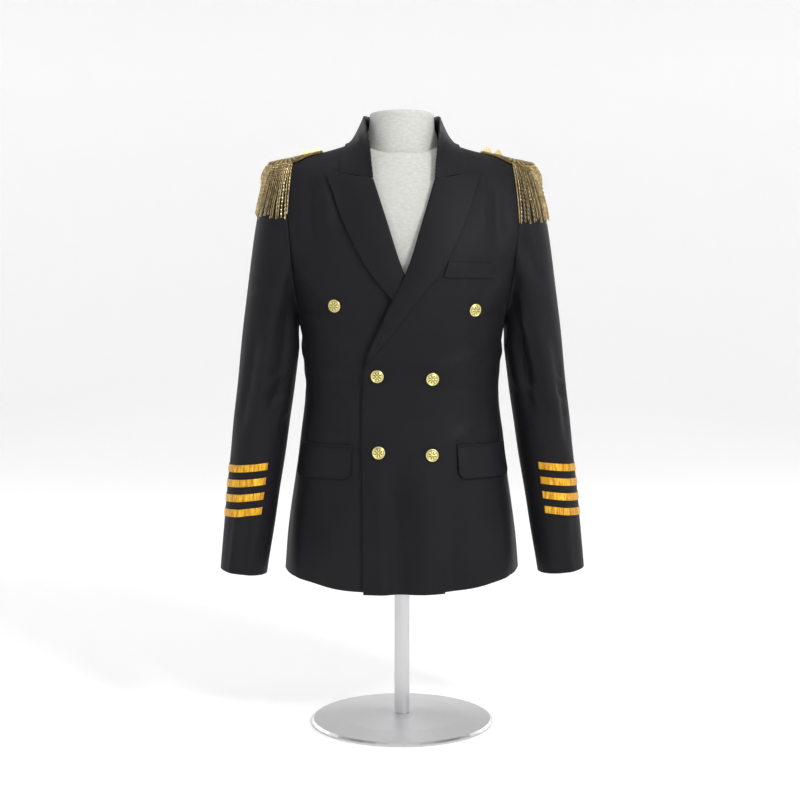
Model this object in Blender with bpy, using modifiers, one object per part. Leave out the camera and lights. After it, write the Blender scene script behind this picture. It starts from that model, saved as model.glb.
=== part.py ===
"""Pilot uniform jacket on a limbless dress form.

Metres, +Z up. The jacket faces -Y and the wearer's left is +X. The stand's underside is at z = 0.
All heights in the tables are measured up from the jacket's front hem.
"""
import math

import bmesh
import bpy
import numpy as np
from mathutils import Matrix, Vector
from mathutils.bvhtree import BVHTree

# ---------------------------------------------------------------- driving dimensions
HEM_Z = 0.235            # front hem above the floor
WALL = 0.0016            # thickness of one layer of suiting
SEAM = 0.0004            # gap between two pieces that a seam joins
SEAT_GAP = 0.0006        # gap under a button or stud
LAPEL_GAP = 0.0010       # gap round the lapels, beside the collar
LAYER = 0.0026           # rise from a panel to a small piece that lies on it
LAP = 0.0036             # rise from one front to the front that laps over it
ROUNDNESS = 2.3          # power of the rounded sections: 2 is an ellipse, more is squarer

TURN_H = 0.46            # height where chest and back start to lean in towards the shoulder
RIDGE_H = 0.724          # shoulder line carried in to the middle of the neck
RIDGE_DROP = 0.213       # fall of the shoulder line for each metre outwards
NAPE_RISE = 0.030        # extra height of the cloth beside the neck
NAPE_REACH = 0.060
RIDGE_Y = 0.012          # how far behind the middle the shoulder line lies

ARM_CELLS = 20           # columns of cloth round a sleeve, and round an armhole
ARM_SEAMS = (7, 13)      # columns where the two sleeve seams and the side body seams meet the armhole
SIDE_CELLS = 9           # rows of a panel from the hem to the armhole
FRONT_TURN = 25.0        # degrees round the body from the side to each side seam
BACK_TURN = -38.0
FRONT_CELLS = 8
BACK_CELLS = 7

BUTTON_R = 0.0102
STRIPE_WIDE = 0.0116
STRIPE_LOW = 0.1250      # height of the lowest band's middle
STRIPE_PITCH = 0.0232
STRIPE_SLANT = 0.0089    # how far each band falls from the front of the sleeve to its outer side
STRIPE_REACH = 6.55      # steps round the arm from the outer side to each end of a band
STRIPE_COUNT = 4
STRIPE_WALL = 0.0009
BOARD_WALL = 0.0022
FRINGE_WALL = 0.0026
FORM_CLEAR = 0.0080      # space between the form and the cloth over it
FORM_REST = 0.0068       # and on the shoulders, where the jacket rests

# columns: height, half width, front depth, back depth
BODY = np.array((
    (-0.03, 0.190, 0.124, 0.131),
    (0.05, 0.186, 0.122, 0.129),
    (0.16, 0.173, 0.117, 0.120),
    (0.24, 0.1645, 0.112, 0.107),
    (0.31, 0.1565, 0.108, 0.099),
    (0.37, 0.1595, 0.113, 0.104),
    (0.43, 0.167, 0.120, 0.113),
    (0.50, 0.192, 0.124, 0.120),
    (0.58, 0.214, 0.124, 0.123),
    (0.66, 0.222, 0.120, 0.120),
    (0.78, 0.222, 0.114, 0.110),
))
HALF_WIDTH, FRONT_DEPTH, BACK_DEPTH = 1, 2, 3

# columns: height, x of the wearer's left front edge, which is the roll line above the break
FRONT_EDGE = np.array((
    (-0.001, -0.0650), (0.150, -0.0655), (0.300, -0.0645), (0.368, -0.0570),
    (0.412, -0.0390), (0.453, -0.0205), (0.494, 0.0000), (0.584, 0.0300), (0.648, 0.0495),
))
BREAK_H = 0.362          # height where the lapel starts to turn back

# columns: height, x along the lapel's outer edge from the break to the point
LAPEL_EDGE = np.array((
    (0.372, -0.0500), (0.400, -0.0250), (0.438, 0.0030), (0.470, 0.0270), (0.503, 0.0540),
    (0.545, 0.0775), (0.590, 0.0980), (0.632, 0.1120), (0.657, 0.1215),
))
# columns: x, height along the seam between lapel and collar, then out to the lapel's point
GORGE = np.array(((0.0495, 0.648), (0.081, 0.652), (0.1010, 0.657)))
LAPEL_POINT = (0.1215, 0.657)

# columns: x, y, height of the neck seam, from the nape to the roll line
NECK_SEAM = np.array((
    (0.000, 0.081, 0.716), (0.040, 0.070, 0.716), (0.070, 0.037, 0.712), (0.079, 0.010, 0.712),
    (0.074, -0.030, 0.698), (0.062, -0.064, 0.674), (0.0495, -0.084, 0.648),
))
NECK_SIDE = 3            # the row of NECK_SEAM where the shoulder seam meets it

# columns: x, y, height of the collar's fold, and x, y, height of its outer edge
COLLAR = np.array((
    (0.000, 0.074, 0.761, 0.000, 0.097, 0.702),
    (0.030, 0.067, 0.761, 0.046, 0.088, 0.703),
    (0.052, 0.044, 0.760, 0.080, 0.054, 0.705),
    (0.0605, 0.008, 0.757, 0.089, 0.008, 0.709),
    (0.0585, -0.030, 0.735, 0.0935, -0.034, 0.697),
    (0.0535, -0.064, 0.697, 0.0985, -0.056, 0.678),
    (0.0495, -0.087, 0.651, 0.1020, -0.068, 0.660),
))

# armhole: a slanted oval, middle and reach on each axis
ARMHOLE_MID = (0.1785, 0.005, 0.551)
ARMHOLE_REACH = (0.0185, 0.070, 0.131)

# columns: height, x, y of the sleeve's middle, and its half width and half depth
SLEEVE = np.array((
    (0.026, 0.2565, -0.038, 0.0370, 0.0490),
    (0.110, 0.2470, -0.029, 0.0400, 0.0530),
    (0.200, 0.2360, -0.014, 0.0430, 0.0580),
    (0.290, 0.2250, -0.004, 0.0450, 0.0630),
    (0.385, 0.2135, -0.003, 0.0462, 0.0670),
))
SLEEVE_TILT = math.radians(6.6)
HEAD_FULLNESS = 0.28     # how far the sleeve head stands out from the armhole
SLEEVE_ROWS = 9
CAP_ROWS = 6

# columns: name, x, height of each button
BUTTONS = (
    ("button_chest_right", -0.108, 0.451),
    ("button_chest_left", 0.108, 0.445),
    ("button_waist_right", -0.0415, 0.3425),
    ("button_waist_left", 0.042, 0.338),
    ("button_hip_right", -0.0400, 0.222),
    ("button_hip_left", 0.042, 0.218),
)

# chest welt: columns x, height of its four corners, lower then upper
WELT = ((0.0575, 0.494), (0.1390, 0.494), (0.0650, 0.517), (0.1390, 0.517))
# hip pocket flap: angles round the body of its front and back end, and its heights
FLAP_ANGLES = (math.radians(64.0), math.radians(17.0))
FLAP_TOP = 0.229
FLAP_DROP = 0.049

# epaulette: its strap and round end on the shoulder
BOARD_IN = 0.127
BOARD_MID = 0.184
BOARD_OUT = 0.2150
BOARD_HALF = 0.034
STRAP_HALF = 0.021
STUDS = ((1, 0.1370), (2, 0.1550))      # number, distance out from the middle
STUD_R = 0.0112
STUD_TOP_R = 0.0018
STUD_TALL = 0.0084
FRINGE_FAN = math.radians(104.0)
FRINGE_LOW = 0.590
FRINGE_CELLS = 14
FRINGE_CLEAR = 0.0016
FRINGE_BULGE = 0.0110    # how far the chains stand out as they turn down over the rim
FRINGE_FALL = 0.80       # share of the rim's turn that the chains keep as they spread

FORM_LOW = 0.050
FORM_SIDE = 0.170        # flat of the form's side, inside the armhole
NECK_MID_Y = 0.010
NECK_TOP = 0.7615
# columns: height, half width, half depth of the neck
NECK = ((0.735, 0.0535, 0.0570), (0.746, 0.0522, 0.0552), (0.756, 0.0520, 0.0545),
        (0.7600, 0.0505, 0.0530), (NECK_TOP, 0.0480, 0.0505))
POLE_R = 0.0125
BASE_R = 0.150
BASE_TALL = 0.014

# columns: name, colour, roughness, metallic
FINISHES = {
    "suiting": ((0.016, 0.015, 0.018), 0.80, 0.0),
    "gold_braid": ((0.80, 0.42, 0.05), 0.45, 0.3),
    "gilt": ((0.83, 0.72, 0.38), 0.28, 1.0),
    "linen": ((0.58, 0.56, 0.50), 0.90, 0.0),
    "stand_metal": ((0.62, 0.62, 0.62), 0.35, 1.0),
}


# ---------------------------------------------------------------- curves and the body's surface
def along(table, column, at):
    """Reads one column of a table on a smooth curve; the first column holds the knots."""
    knots = table[:, 0]
    values = table[:, column]
    slopes = np.gradient(values, knots)
    at = np.clip(at, knots[0], knots[-1])
    k = np.clip(np.searchsorted(knots, at) - 1, 0, len(knots) - 2)
    span = knots[k + 1] - knots[k]
    t = (at - knots[k]) / span
    rise = t * t * (3.0 - 2.0 * t)
    bend = t * (t - 1.0) * span
    return (values[k] * (1.0 - rise) + values[k + 1] * rise
            + bend * ((t - 1.0) * slopes[k] + t * slopes[k + 1]))


def ease(value, start, end):
    """0 before start, 1 after end, smooth between."""
    t = np.clip((value - start) / (end - start), 0.0, 1.0)
    return t * t * (3.0 - 2.0 * t)


def path(points, cells):
    """Evenly spaced points on a smooth curve through the given ones."""
    points = np.asarray(points, dtype=float)
    steps = np.linalg.norm(np.diff(points, axis=0), axis=1)
    knots = np.concatenate(([0.0], np.cumsum(steps)))
    table = np.column_stack((knots, points))
    fine = np.linspace(0.0, knots[-1], 40 * len(points))
    curve = np.stack([along(table, column, fine) for column in (1, 2, 3)], axis=-1)
    gone = np.concatenate(([0.0], np.cumsum(np.linalg.norm(np.diff(curve, axis=0), axis=1))))
    at = np.linspace(0.0, gone[-1], cells + 1)
    return np.stack([np.interp(at, gone, curve[:, axis]) for axis in range(3)], axis=-1)


def ridge_height(x):
    """Height of the shoulder line above the hem, at a distance out from the middle."""
    return RIDGE_H - RIDGE_DROP * x + NAPE_RISE * np.exp(-(x / NAPE_REACH) ** 2)


def body_field(points):
    """Zero on the cloth round the body, less inside and more outside."""
    x = np.abs(points[..., 0])
    height = points[..., 2] - HEM_Z
    y = points[..., 1] - RIDGE_Y * ease(height, TURN_H, RIDGE_H)
    front = along(BODY, FRONT_DEPTH, height)
    back = along(BODY, BACK_DEPTH, height)
    deep = np.abs(y) / np.where(y < 0.0, front, back)
    wide = x / along(BODY, HALF_WIDTH, height)
    tall = np.clip((height - TURN_H) / (ridge_height(x) - TURN_H), 0.0, None)
    return (deep ** ROUNDNESS + wide ** ROUNDNESS + tall ** ROUNDNESS
            - (tall * wide) ** ROUNDNESS - 1.0)


def body_slope(points):
    """Direction and rate in which the body's field grows."""
    step = 1e-4
    return np.stack([(body_field(points + move) - body_field(points - move)) / (2.0 * step)
                     for move in np.eye(3) * step], axis=-1)


def on_body(points, lift=0.0):
    """Moves points onto the body's surface, then out from it by the lift."""
    points = np.array(points, dtype=float)
    for _ in range(14):
        slope = body_slope(points)
        steep = np.maximum((slope ** 2).sum(axis=-1), 1e-9)
        points = points - 0.9 * (body_field(points) / steep)[..., None] * slope
    slope = body_slope(points)
    normal = slope / np.linalg.norm(slope, axis=-1, keepdims=True)
    return points + normal * np.broadcast_to(lift, points.shape[:-1])[..., None]


def off_body(points, least):
    """Pushes points out until they are at least so far from the body's surface."""
    slope = body_slope(points)
    steep = np.linalg.norm(slope, axis=-1)
    away = body_field(points) / steep
    push = np.maximum(least - away, 0.0)
    return points + slope / steep[..., None] * push[..., None]


def body_point(angle, height):
    """A point on the body below the chest: 0 degrees at the side, 90 at the front."""
    power = 2.0 / ROUNDNESS
    cos, sin = np.cos(angle), np.sin(angle)
    depth = np.where(sin > 0.0, along(BODY, FRONT_DEPTH, height), along(BODY, BACK_DEPTH, height))
    return np.stack(np.broadcast_arrays(
        along(BODY, HALF_WIDTH, height) * np.sign(cos) * np.abs(cos) ** power,
        -depth * np.sign(sin) * np.abs(sin) ** power,
        HEM_Z + height), axis=-1)


def front_guess(x, height):
    """A point near the front of the chest, ready for on_body."""
    x, height = np.broadcast_arrays(np.asarray(x, float), np.asarray(height, float))
    wide = np.clip(np.abs(x) / along(BODY, HALF_WIDTH, height), 0.0, 0.97)
    tall = np.clip((height - TURN_H) / (ridge_height(np.abs(x)) - TURN_H), 0.0, 0.97)
    shrink = ((1.0 - wide ** ROUNDNESS) * (1.0 - tall ** ROUNDNESS)) ** (1.0 / ROUNDNESS)
    y = RIDGE_Y * ease(height, TURN_H, RIDGE_H) - along(BODY, FRONT_DEPTH, height) * shrink
    return np.stack((x, y, HEM_Z + height), axis=-1)


def armhole(angle):
    """The armhole seam: 0 at the shoulder, 90 degrees at the front, 180 under the arm."""
    mid, reach = ARMHOLE_MID, ARMHOLE_REACH
    return on_body(np.stack((mid[0] + reach[0] * np.cos(angle), mid[1] - reach[1] * np.sin(angle),
                             HEM_Z + mid[2] + reach[2] * np.cos(angle)), axis=-1))


def arm_angles(first, last):
    """Angles round the arm from one column to another."""
    return np.linspace(first, last, abs(last - first) + 1) * 2.0 * math.pi / ARM_CELLS


# ---------------------------------------------------------------- seam lines of the body
def lifted(points):
    """Adds the hem's height to a table of points measured from the hem."""
    return np.asarray(points, float) + (0.0, 0.0, HEM_Z)


def front_edge(cells):
    heights = np.linspace(FRONT_EDGE[0, 0], FRONT_EDGE[-1, 0], 60)
    return on_body(path(front_guess(along(FRONT_EDGE, 1, heights), heights), cells))


def side_seam(top_angle, degrees):
    """A seam from the hem up to the armhole; degrees place it round the body."""
    turn = math.radians(degrees)
    low = [body_point(turn, height) for height in (0.019, 0.10, 0.20, 0.30, 0.37)]
    return on_body(path(low + [armhole(np.array(top_angle))], SIDE_CELLS))


def neck_line(first, last, cells):
    return on_body(path(lifted(NECK_SEAM[first:last + 1]), cells))


def shoulder_seam(cells):
    tip = armhole(np.array(0.0))
    neck = neck_line(0, NECK_SIDE, 4)[-1]
    return on_body(np.linspace(neck, tip, cells + 1))


FRONT_SEAM = side_seam(ARM_SEAMS[0] * 2.0 * math.pi / ARM_CELLS, FRONT_TURN)
BACK_SEAM = side_seam(ARM_SEAMS[1] * 2.0 * math.pi / ARM_CELLS, BACK_TURN)


def patch(low, high, start, end):
    """Fills the space between four edges: low and high run across, start and end run up."""
    u = np.linspace(0.0, 1.0, len(low))[None, :, None]
    v = np.linspace(0.0, 1.0, len(start))[:, None, None]
    across = (1.0 - v) * low[None] + v * high[None]
    up = (1.0 - u) * start[:, None] + u * end[:, None]
    corners = ((1.0 - u) * (1.0 - v) * low[0] + u * (1.0 - v) * low[-1]
               + (1.0 - u) * v * high[0] + u * v * high[-1])
    return across + up - corners


def drawn_in(grid, gap=SEAM):
    """Pulls the four edges of a grid in by half the seam gap."""
    grid = grid.copy()
    for edge, inner in ((0, 1), (-1, -2)):
        for view in (grid, grid.swapaxes(0, 1)):
            step = view[inner] - view[edge]
            view[edge] += step * (0.5 * gap / np.linalg.norm(step, axis=-1, keepdims=True))
    return grid


# ---------------------------------------------------------------- cloth of the body
def front_grid():
    rows = SIDE_CELLS + ARM_SEAMS[0]
    edge = front_edge(rows)
    side = np.vstack((FRONT_SEAM, armhole(arm_angles(ARM_SEAMS[0], 0))[1:]))
    hem = on_body(path((edge[0], front_guess(0.06, 0.002), front_guess(0.12, 0.008), side[0]),
                       FRONT_CELLS))
    neck_cells = FRONT_CELLS // 2
    top = np.vstack((neck_line(NECK_SIDE, len(NECK_SEAM) - 1, neck_cells)[::-1],
                     shoulder_seam(FRONT_CELLS - neck_cells)[1:]))
    return on_body(patch(hem, top, edge, side))


def side_grid():
    cells = ARM_SEAMS[1] - ARM_SEAMS[0]
    hem = on_body(path((FRONT_SEAM[0], body_point(math.radians(-6.0), 0.021), BACK_SEAM[0]), cells))
    top = armhole(arm_angles(ARM_SEAMS[0], ARM_SEAMS[1]))
    return on_body(patch(hem, top, FRONT_SEAM, BACK_SEAM))


def back_grid():
    rows = SIDE_CELLS + ARM_CELLS - ARM_SEAMS[1]
    side = np.vstack((BACK_SEAM, armhole(arm_angles(ARM_SEAMS[1], ARM_CELLS))[1:]))
    behind = math.radians(-90.0)
    low = [body_point(behind, height) for height in (0.012, 0.12, 0.22, 0.31, 0.40, 0.46)]
    high = lifted(((0.0, 0.122, 0.55), (0.0, 0.107, 0.65)))
    nape = neck_line(0, NECK_SIDE, 4)[0]
    middle = on_body(path(low + list(high) + [nape], rows))
    hem = on_body(path((side[0], body_point(math.radians(-62.0), 0.014), middle[0]), BACK_CELLS))
    neck_cells = 3
    top = np.vstack((shoulder_seam(BACK_CELLS - neck_cells)[::-1],
                     neck_line(0, NECK_SIDE, neck_cells)[::-1][1:]))
    return on_body(patch(hem, top, side, middle))


def overlap_lift(points):
    """How far the wearer's left front stands out where it laps over the right one."""
    height = points[..., 2] - HEM_Z
    across = 1.0 - ease(points[..., 0], 0.080, 0.125)
    below_v = 1.0 - ease(height, 0.50, 0.60)
    over_lapel = ease(height, 0.26, 0.36) * below_v
    return across * LAP * (below_v + over_lapel)


def lapel_grid():
    rows, cells = 11, 4
    heights = np.linspace(BREAK_H, FRONT_EDGE[-1, 0], rows + 1)
    roll = on_body(path(front_guess(along(FRONT_EDGE, 1, heights), heights), rows))
    edge = on_body(path(front_guess(LAPEL_EDGE[:, 1], LAPEL_EDGE[:, 0]), rows))
    gorge = path(front_guess(GORGE[:, 0], GORGE[:, 1]), cells - 1)
    top = np.vstack((gorge, front_guess(*LAPEL_POINT)[None]))
    top = on_body(top)
    top[0], top[-1] = roll[-1], edge[-1]
    low = np.linspace(roll[0], edge[0], cells + 1)
    return on_body(patch(low, top, roll, edge))


def mirrored(points):
    return points * (-1.0, 1.0, 1.0)


def collar_grid():
    """One folded sheet: stand inside, rounded fold, leaf outside, from end to end of the neck."""
    cells = 11
    seam = neck_line(0, len(NECK_SEAM) - 1, cells) + (0.0, 0.0, 0.0016)
    fold = path(lifted(COLLAR[:, :3]), cells)
    edge = path(lifted(COLLAR[:, 3:]), cells)
    out = edge - fold
    out[:, 2] = 0.0
    out /= np.linalg.norm(out, axis=1, keepdims=True)
    up = np.array((0.0, 0.0, 1.0))
    tuck = np.linspace(1.0, 0.35, cells + 1)[:, None]
    stand = seam + 0.55 * (fold - seam) - out * 0.001
    inner = fold - up * 0.0040 * tuck - out * 0.0012
    outer = fold + out * 0.0052 * tuck - up * 0.0028 * tuck
    rows = [seam, stand, inner, fold + out * 0.0018 * tuck, outer]
    for part in (0.33, 0.66, 1.0):
        swell = 0.0030 * math.sin(math.pi * part) * out
        rows.append(outer + part * (edge - outer) + swell)
    half = np.stack(rows)
    half[3:] = off_body(half[3:], LAYER + 0.0004)
    whole = np.concatenate((mirrored(half)[:, :0:-1], half), axis=1)
    return whole


def sleeve_ring(angle, height):
    """A point of the sleeve below the armhole; the ring is square to the slanted arm."""
    mid_x = along(SLEEVE, 1, height)
    mid_y = along(SLEEVE, 2, height)
    wide = along(SLEEVE, 3, height) * np.cos(angle)
    deep = along(SLEEVE, 4, height) * np.sin(angle)
    return np.stack(np.broadcast_arrays(mid_x + wide * math.cos(SLEEVE_TILT), mid_y - deep,
                                        HEM_Z + height + wide * math.sin(SLEEVE_TILT)), axis=-1)


def sleeve_points(angles, cap_rows=CAP_ROWS, arm_rows=SLEEVE_ROWS):
    """The sleeve from the armhole down to the cuff: a row for each step, a column for each angle."""
    seam = armhole(angles)
    slope = body_slope(seam)
    normal = slope / np.linalg.norm(slope, axis=-1, keepdims=True)
    hole = seam - (np.array(ARMHOLE_MID) + (0.0, 0.0, HEM_Z))
    hole[:, 0] = 0.0
    inward = -hole / np.linalg.norm(hole, axis=-1, keepdims=True)
    start = seam + inward * 0.0004 + normal * 0.0004 + np.array((0.0010, 0.0, 0.0))
    top = SLEEVE[-1, 0]
    ring = sleeve_ring(angles, top)
    reach = np.linalg.norm(ring - start, axis=-1, keepdims=True)
    leave = reach * (HEAD_FULLNESS * np.array((1.0, 0.0, 0.0)) + 0.10 * normal)
    down = np.array((math.sin(SLEEVE_TILT), 0.0, -math.cos(SLEEVE_TILT)))
    arrive = reach * down
    rows = []
    for t in np.linspace(0.0, 1.0, cap_rows + 1):
        rise = t * t * (3.0 - 2.0 * t)
        bend = t * (t - 1.0)
        rows.append(start * (1.0 - rise) + ring * rise + bend * ((t - 1.0) * leave + t * arrive))
    for height in np.linspace(top, SLEEVE[0, 0], arm_rows + 1)[1:]:
        rows.append(sleeve_ring(angles, height))
    return np.stack(rows)


def stripe_grid(number):
    """A braid band round the upper sleeve, almost from seam to seam, a little lower outside."""
    steps = np.clip(np.arange(-ARM_SEAMS[0], ARM_SEAMS[0] + 1), -STRIPE_REACH, STRIPE_REACH)
    angles = steps * 2.0 * math.pi / ARM_CELLS
    middle = STRIPE_LOW + STRIPE_PITCH * (number - 1)
    slanted = middle - STRIPE_SLANT * np.cos(angles)
    rows = [sleeve_ring(angles, slanted + side * 0.5 * STRIPE_WIDE) for side in (1.0, -1.0)]
    grid = np.stack(rows)
    centre = sleeve_ring(np.array((0.0, math.pi)), middle).mean(axis=0)
    out = grid - centre
    out[..., 2] = 0.0
    out /= np.linalg.norm(out, axis=-1, keepdims=True)
    grid = grid + out * (0.5 * WALL + 0.0008 + 0.5 * STRIPE_WALL)
    return drawn_in(grid), out


# ---------------------------------------------------------------- shoulder ornament
def board_lift():
    return 0.5 * WALL + 0.0011 + 0.5 * BOARD_WALL


def board_half(x):
    """Half width of the epaulette: a strap that widens into a round end."""
    spread = ease(x, BOARD_IN + 0.012, BOARD_MID - 0.012)
    half = STRAP_HALF + (BOARD_HALF - STRAP_HALF) * spread
    past = np.clip((x - BOARD_MID) / (BOARD_OUT - BOARD_MID), 0.0, 0.985)
    return half * np.sqrt(1.0 - past ** 2)


def board_grid():
    turns = np.linspace(0.0, 0.5 * math.pi, 6)[1:]
    stations = np.concatenate((np.linspace(BOARD_IN, BOARD_MID, 6),
                               BOARD_MID + (BOARD_OUT - BOARD_MID) * np.sin(turns)))
    across = np.linspace(-1.0, 1.0, 9)
    x = np.broadcast_to(stations[:, None], (len(stations), len(across)))
    y = RIDGE_Y + across[None, :] * board_half(stations)[:, None]
    z = HEM_Z + ridge_height(x) - 6.0 * (y - RIDGE_Y) ** 2
    return on_body(np.stack((x, y, z), axis=-1), board_lift())


def sleeve_outline(height):
    """The sleeve head's outline at one height, as turns and distances about the board's middle."""
    angles = np.radians(np.linspace(-110.0, 110.0, 89))
    rows = sleeve_points(angles, 24, 1)[:-1]
    plan = []
    for line in rows[::-1].swapaxes(0, 1):
        if line[-1, 2] > height:
            plan.append([np.interp(height, line[:, 2], line[:, axis]) for axis in (0, 1)])
    if len(plan) < 3:
        return np.array((0.0, 1.0)), np.zeros(2)
    plan = np.array(plan) - (BOARD_MID, RIDGE_Y)
    turn = np.arctan2(-plan[:, 1], plan[:, 0])
    order = np.argsort(turn)
    return turn[order], np.hypot(*plan[order].T)


def reach_over(origin, ray, height):
    """How far out from a point of the rim the jacket and its sleeve reach at one height."""
    far = np.linspace(0.0, 0.09, 91)
    points = np.full((len(far), 3), height)
    points[:, :2] = origin + far[:, None] * ray
    limit = along(BODY, HALF_WIDTH, points[:, 2] - HEM_Z)
    in_body = (body_field(points) < 0.0) & (points[:, 0] < limit)
    plan = points[:, :2] - (BOARD_MID, RIDGE_Y)
    turns, radii = sleeve_outline(height)
    around = np.interp(np.arctan2(-plan[:, 1], plan[:, 0]), turns, radii, left=0.0, right=0.0)
    in_sleeve = np.hypot(*plan.T) < around
    return np.where(in_body | in_sleeve, far, -1.0).max()


def fringe_grid():
    """The curtain that the fringe fills, from the board's rim down over the sleeve head."""
    fan = np.linspace(-FRINGE_FAN, FRINGE_FAN, FRINGE_CELLS + 1)
    wide, deep = BOARD_OUT - BOARD_MID, BOARD_HALF
    rim = wide * deep / np.hypot(deep * np.cos(fan), wide * np.sin(fan))
    rim += 0.5 * FRINGE_WALL + 0.0009
    origin = np.stack((BOARD_MID + rim * np.cos(fan), RIDGE_Y - rim * np.sin(fan)), axis=-1)
    ray = np.stack((np.cos(FRINGE_FALL * fan), -np.sin(FRINGE_FALL * fan)), axis=-1)
    top = np.column_stack((origin, HEM_Z + ridge_height(origin[:, 0])))
    top = on_body(top, board_lift())[:, 2]
    out = np.zeros(len(fan))
    rows = []
    for step in np.linspace(0.0, 1.0, 6):
        height = top + (HEM_Z + FRINGE_LOW - top) * step
        reach = np.array([reach_over(*rim_point) for rim_point in zip(origin, ray, height)])
        padded = np.pad(reach, 1, mode="edge")
        widest = np.maximum(np.maximum(padded[:-2], padded[2:]), reach)
        out = np.maximum(out, widest + 0.5 * (WALL + FRINGE_WALL) + FRINGE_CLEAR)
        out = np.maximum(out, FRINGE_BULGE) if step > 0.0 else np.zeros(len(fan))
        rows.append(np.column_stack((origin + out[:, None] * ray, height)))
    return np.stack(rows)


# ---------------------------------------------------------------- making objects
def finish(name):
    colour, rough, metal = FINISHES[name]
    material = bpy.data.materials.get(name) or bpy.data.materials.new(name)
    material.use_nodes = True
    shader = material.node_tree.nodes["Principled BSDF"]
    shader.inputs["Base Color"].default_value = (*colour, 1.0)
    shader.inputs["Roughness"].default_value = rough
    shader.inputs["Metallic"].default_value = metal
    return material


def place(name, bm, collection, look, smooth=True):
    mesh = bpy.data.meshes.new(name)
    bm.to_mesh(mesh)
    bm.free()
    mesh.materials.append(finish(look))
    if smooth:
        mesh.shade_smooth()
        mesh.set_sharp_from_angle(angle=math.radians(40.0))
    thing = bpy.data.objects.new(name, mesh)
    collection.objects.link(thing)
    return thing


def grid_mesh(grid):
    """A bmesh sheet whose points are the grid's."""
    rows, columns = grid.shape[:2]
    bm = bmesh.new()
    bmesh.ops.create_grid(bm, x_segments=columns - 1, y_segments=rows - 1, size=1.0)
    bm.verts.ensure_lookup_table()
    for vertex, point in zip(bm.verts, grid.reshape(-1, 3)):
        vertex.co = point
    return bm


def cloth(name, grid, normals, collection, look="suiting", wall=WALL):
    """A wall of cloth: the grid moved half a wall out and half a wall in, closed round its edges."""
    bm = grid_mesh(grid + normals * (0.5 * wall))
    rows, columns = grid.shape[:2]
    bmesh.ops.create_grid(bm, x_segments=columns - 1, y_segments=rows - 1, size=1.0)
    inner = grid - normals * (0.5 * wall)
    for vertex, point in zip(list(bm.verts)[rows * columns:], inner.reshape(-1, 3)):
        vertex.co = point
    bmesh.ops.bridge_loops(bm, edges=[edge for edge in bm.edges if edge.is_boundary])
    bmesh.ops.recalc_face_normals(bm, faces=bm.faces)
    return place(name, bm, collection, look)


def body_normals(grid):
    slope = body_slope(grid)
    return slope / np.linalg.norm(slope, axis=-1, keepdims=True)


def grid_normals(grid, closed=False):
    """Normals of a grid from its own rows and columns; closed joins its last column to its first."""
    wide = np.concatenate((grid[:, -2:-1], grid, grid[:, 1:2]), axis=1) if closed else grid
    across = np.gradient(wide, axis=1)
    across = across[:, 1:-1] if closed else across
    normal = np.cross(across, np.gradient(grid, axis=0))
    return normal / np.linalg.norm(normal, axis=-1, keepdims=True)


def turned(name, profile, collection, look, segments=24):
    """A round piece from its half section, listed from the top down its outer side."""
    bm = bmesh.new()
    points = [bm.verts.new((radius, 0.0, height)) for radius, height in profile]
    for first, second in zip(points, points[1:]):
        bm.edges.new((first, second))
    thing = place(name, bm, collection, look)
    spin = thing.modifiers.new("turn", "SCREW")
    spin.steps = segments
    spin.render_steps = segments
    spin.use_merge_vertices = True
    spin.merge_threshold = 0.00001
    spin.use_smooth_shade = True
    return thing


def seat(thing, carrier, point):
    """Sets a piece on the carrier's outer face, its +Z along the cloth's normal."""
    mesh = carrier.data
    tree = BVHTree.FromPolygons([vertex.co for vertex in mesh.vertices],
                                [face.vertices for face in mesh.polygons])
    normal = Vector(body_normals(np.abs(point) * (1.0, 0.0, 1.0) + np.asarray(point) * (0, 1, 0)))
    normal.x = math.copysign(normal.x, point[0])
    hit, *_ = tree.ray_cast(Vector(point) + normal * 0.03, -normal)
    turn = normal.to_track_quat("Z", "Y").to_matrix().to_4x4()
    thing.matrix_world = Matrix.Translation(hit + normal * SEAT_GAP) @ turn


# ---------------------------------------------------------------- the pieces
def body_cloth(name, grid, collection, gap=SEAM):
    grid = drawn_in(grid, gap)
    cloth(name, grid, body_normals(grid), collection)


def build_body(collection):
    front, side, back = front_grid(), side_grid(), back_grid()
    body_cloth("front_left", on_body(front, overlap_lift(front)), collection)
    body_cloth("front_right", mirrored(front), collection)
    for name, grid in (("side", side), ("back", back)):
        body_cloth(f"{name}_left", grid, collection)
        body_cloth(f"{name}_right", mirrored(grid), collection)


def build_lapels_and_collar(collection):
    lapel = lapel_grid()
    body_cloth("lapel_right", mirrored(on_body(lapel, LAYER)), collection, LAPEL_GAP)
    body_cloth("lapel_left", on_body(lapel, overlap_lift(lapel) + LAYER), collection, LAPEL_GAP)
    collar = collar_grid()
    cloth("collar", collar, grid_normals(collar), collection)


def build_sleeves(collection):
    first = ARM_SEAMS[1] - ARM_CELLS
    tube = sleeve_points(arm_angles(first, ARM_SEAMS[1]))
    normals = grid_normals(tube, closed=True)
    seam = ARM_SEAMS[0] - first
    for name, part in (("upper_sleeve", slice(0, seam + 1)), ("under_sleeve", slice(seam, None))):
        grid = drawn_in(tube[:, part])
        cloth(f"{name}_left", grid, normals[:, part], collection)
        cloth(f"{name}_right", mirrored(grid), mirrored(normals[:, part]), collection)
    for number in range(1, STRIPE_COUNT + 1):
        grid, out = stripe_grid(number)
        cloth(f"stripe_left_{number}", grid, out, collection, "gold_braid", STRIPE_WALL)
        cloth(f"stripe_right_{number}", mirrored(grid), mirrored(out), collection, "gold_braid",
              STRIPE_WALL)


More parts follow.
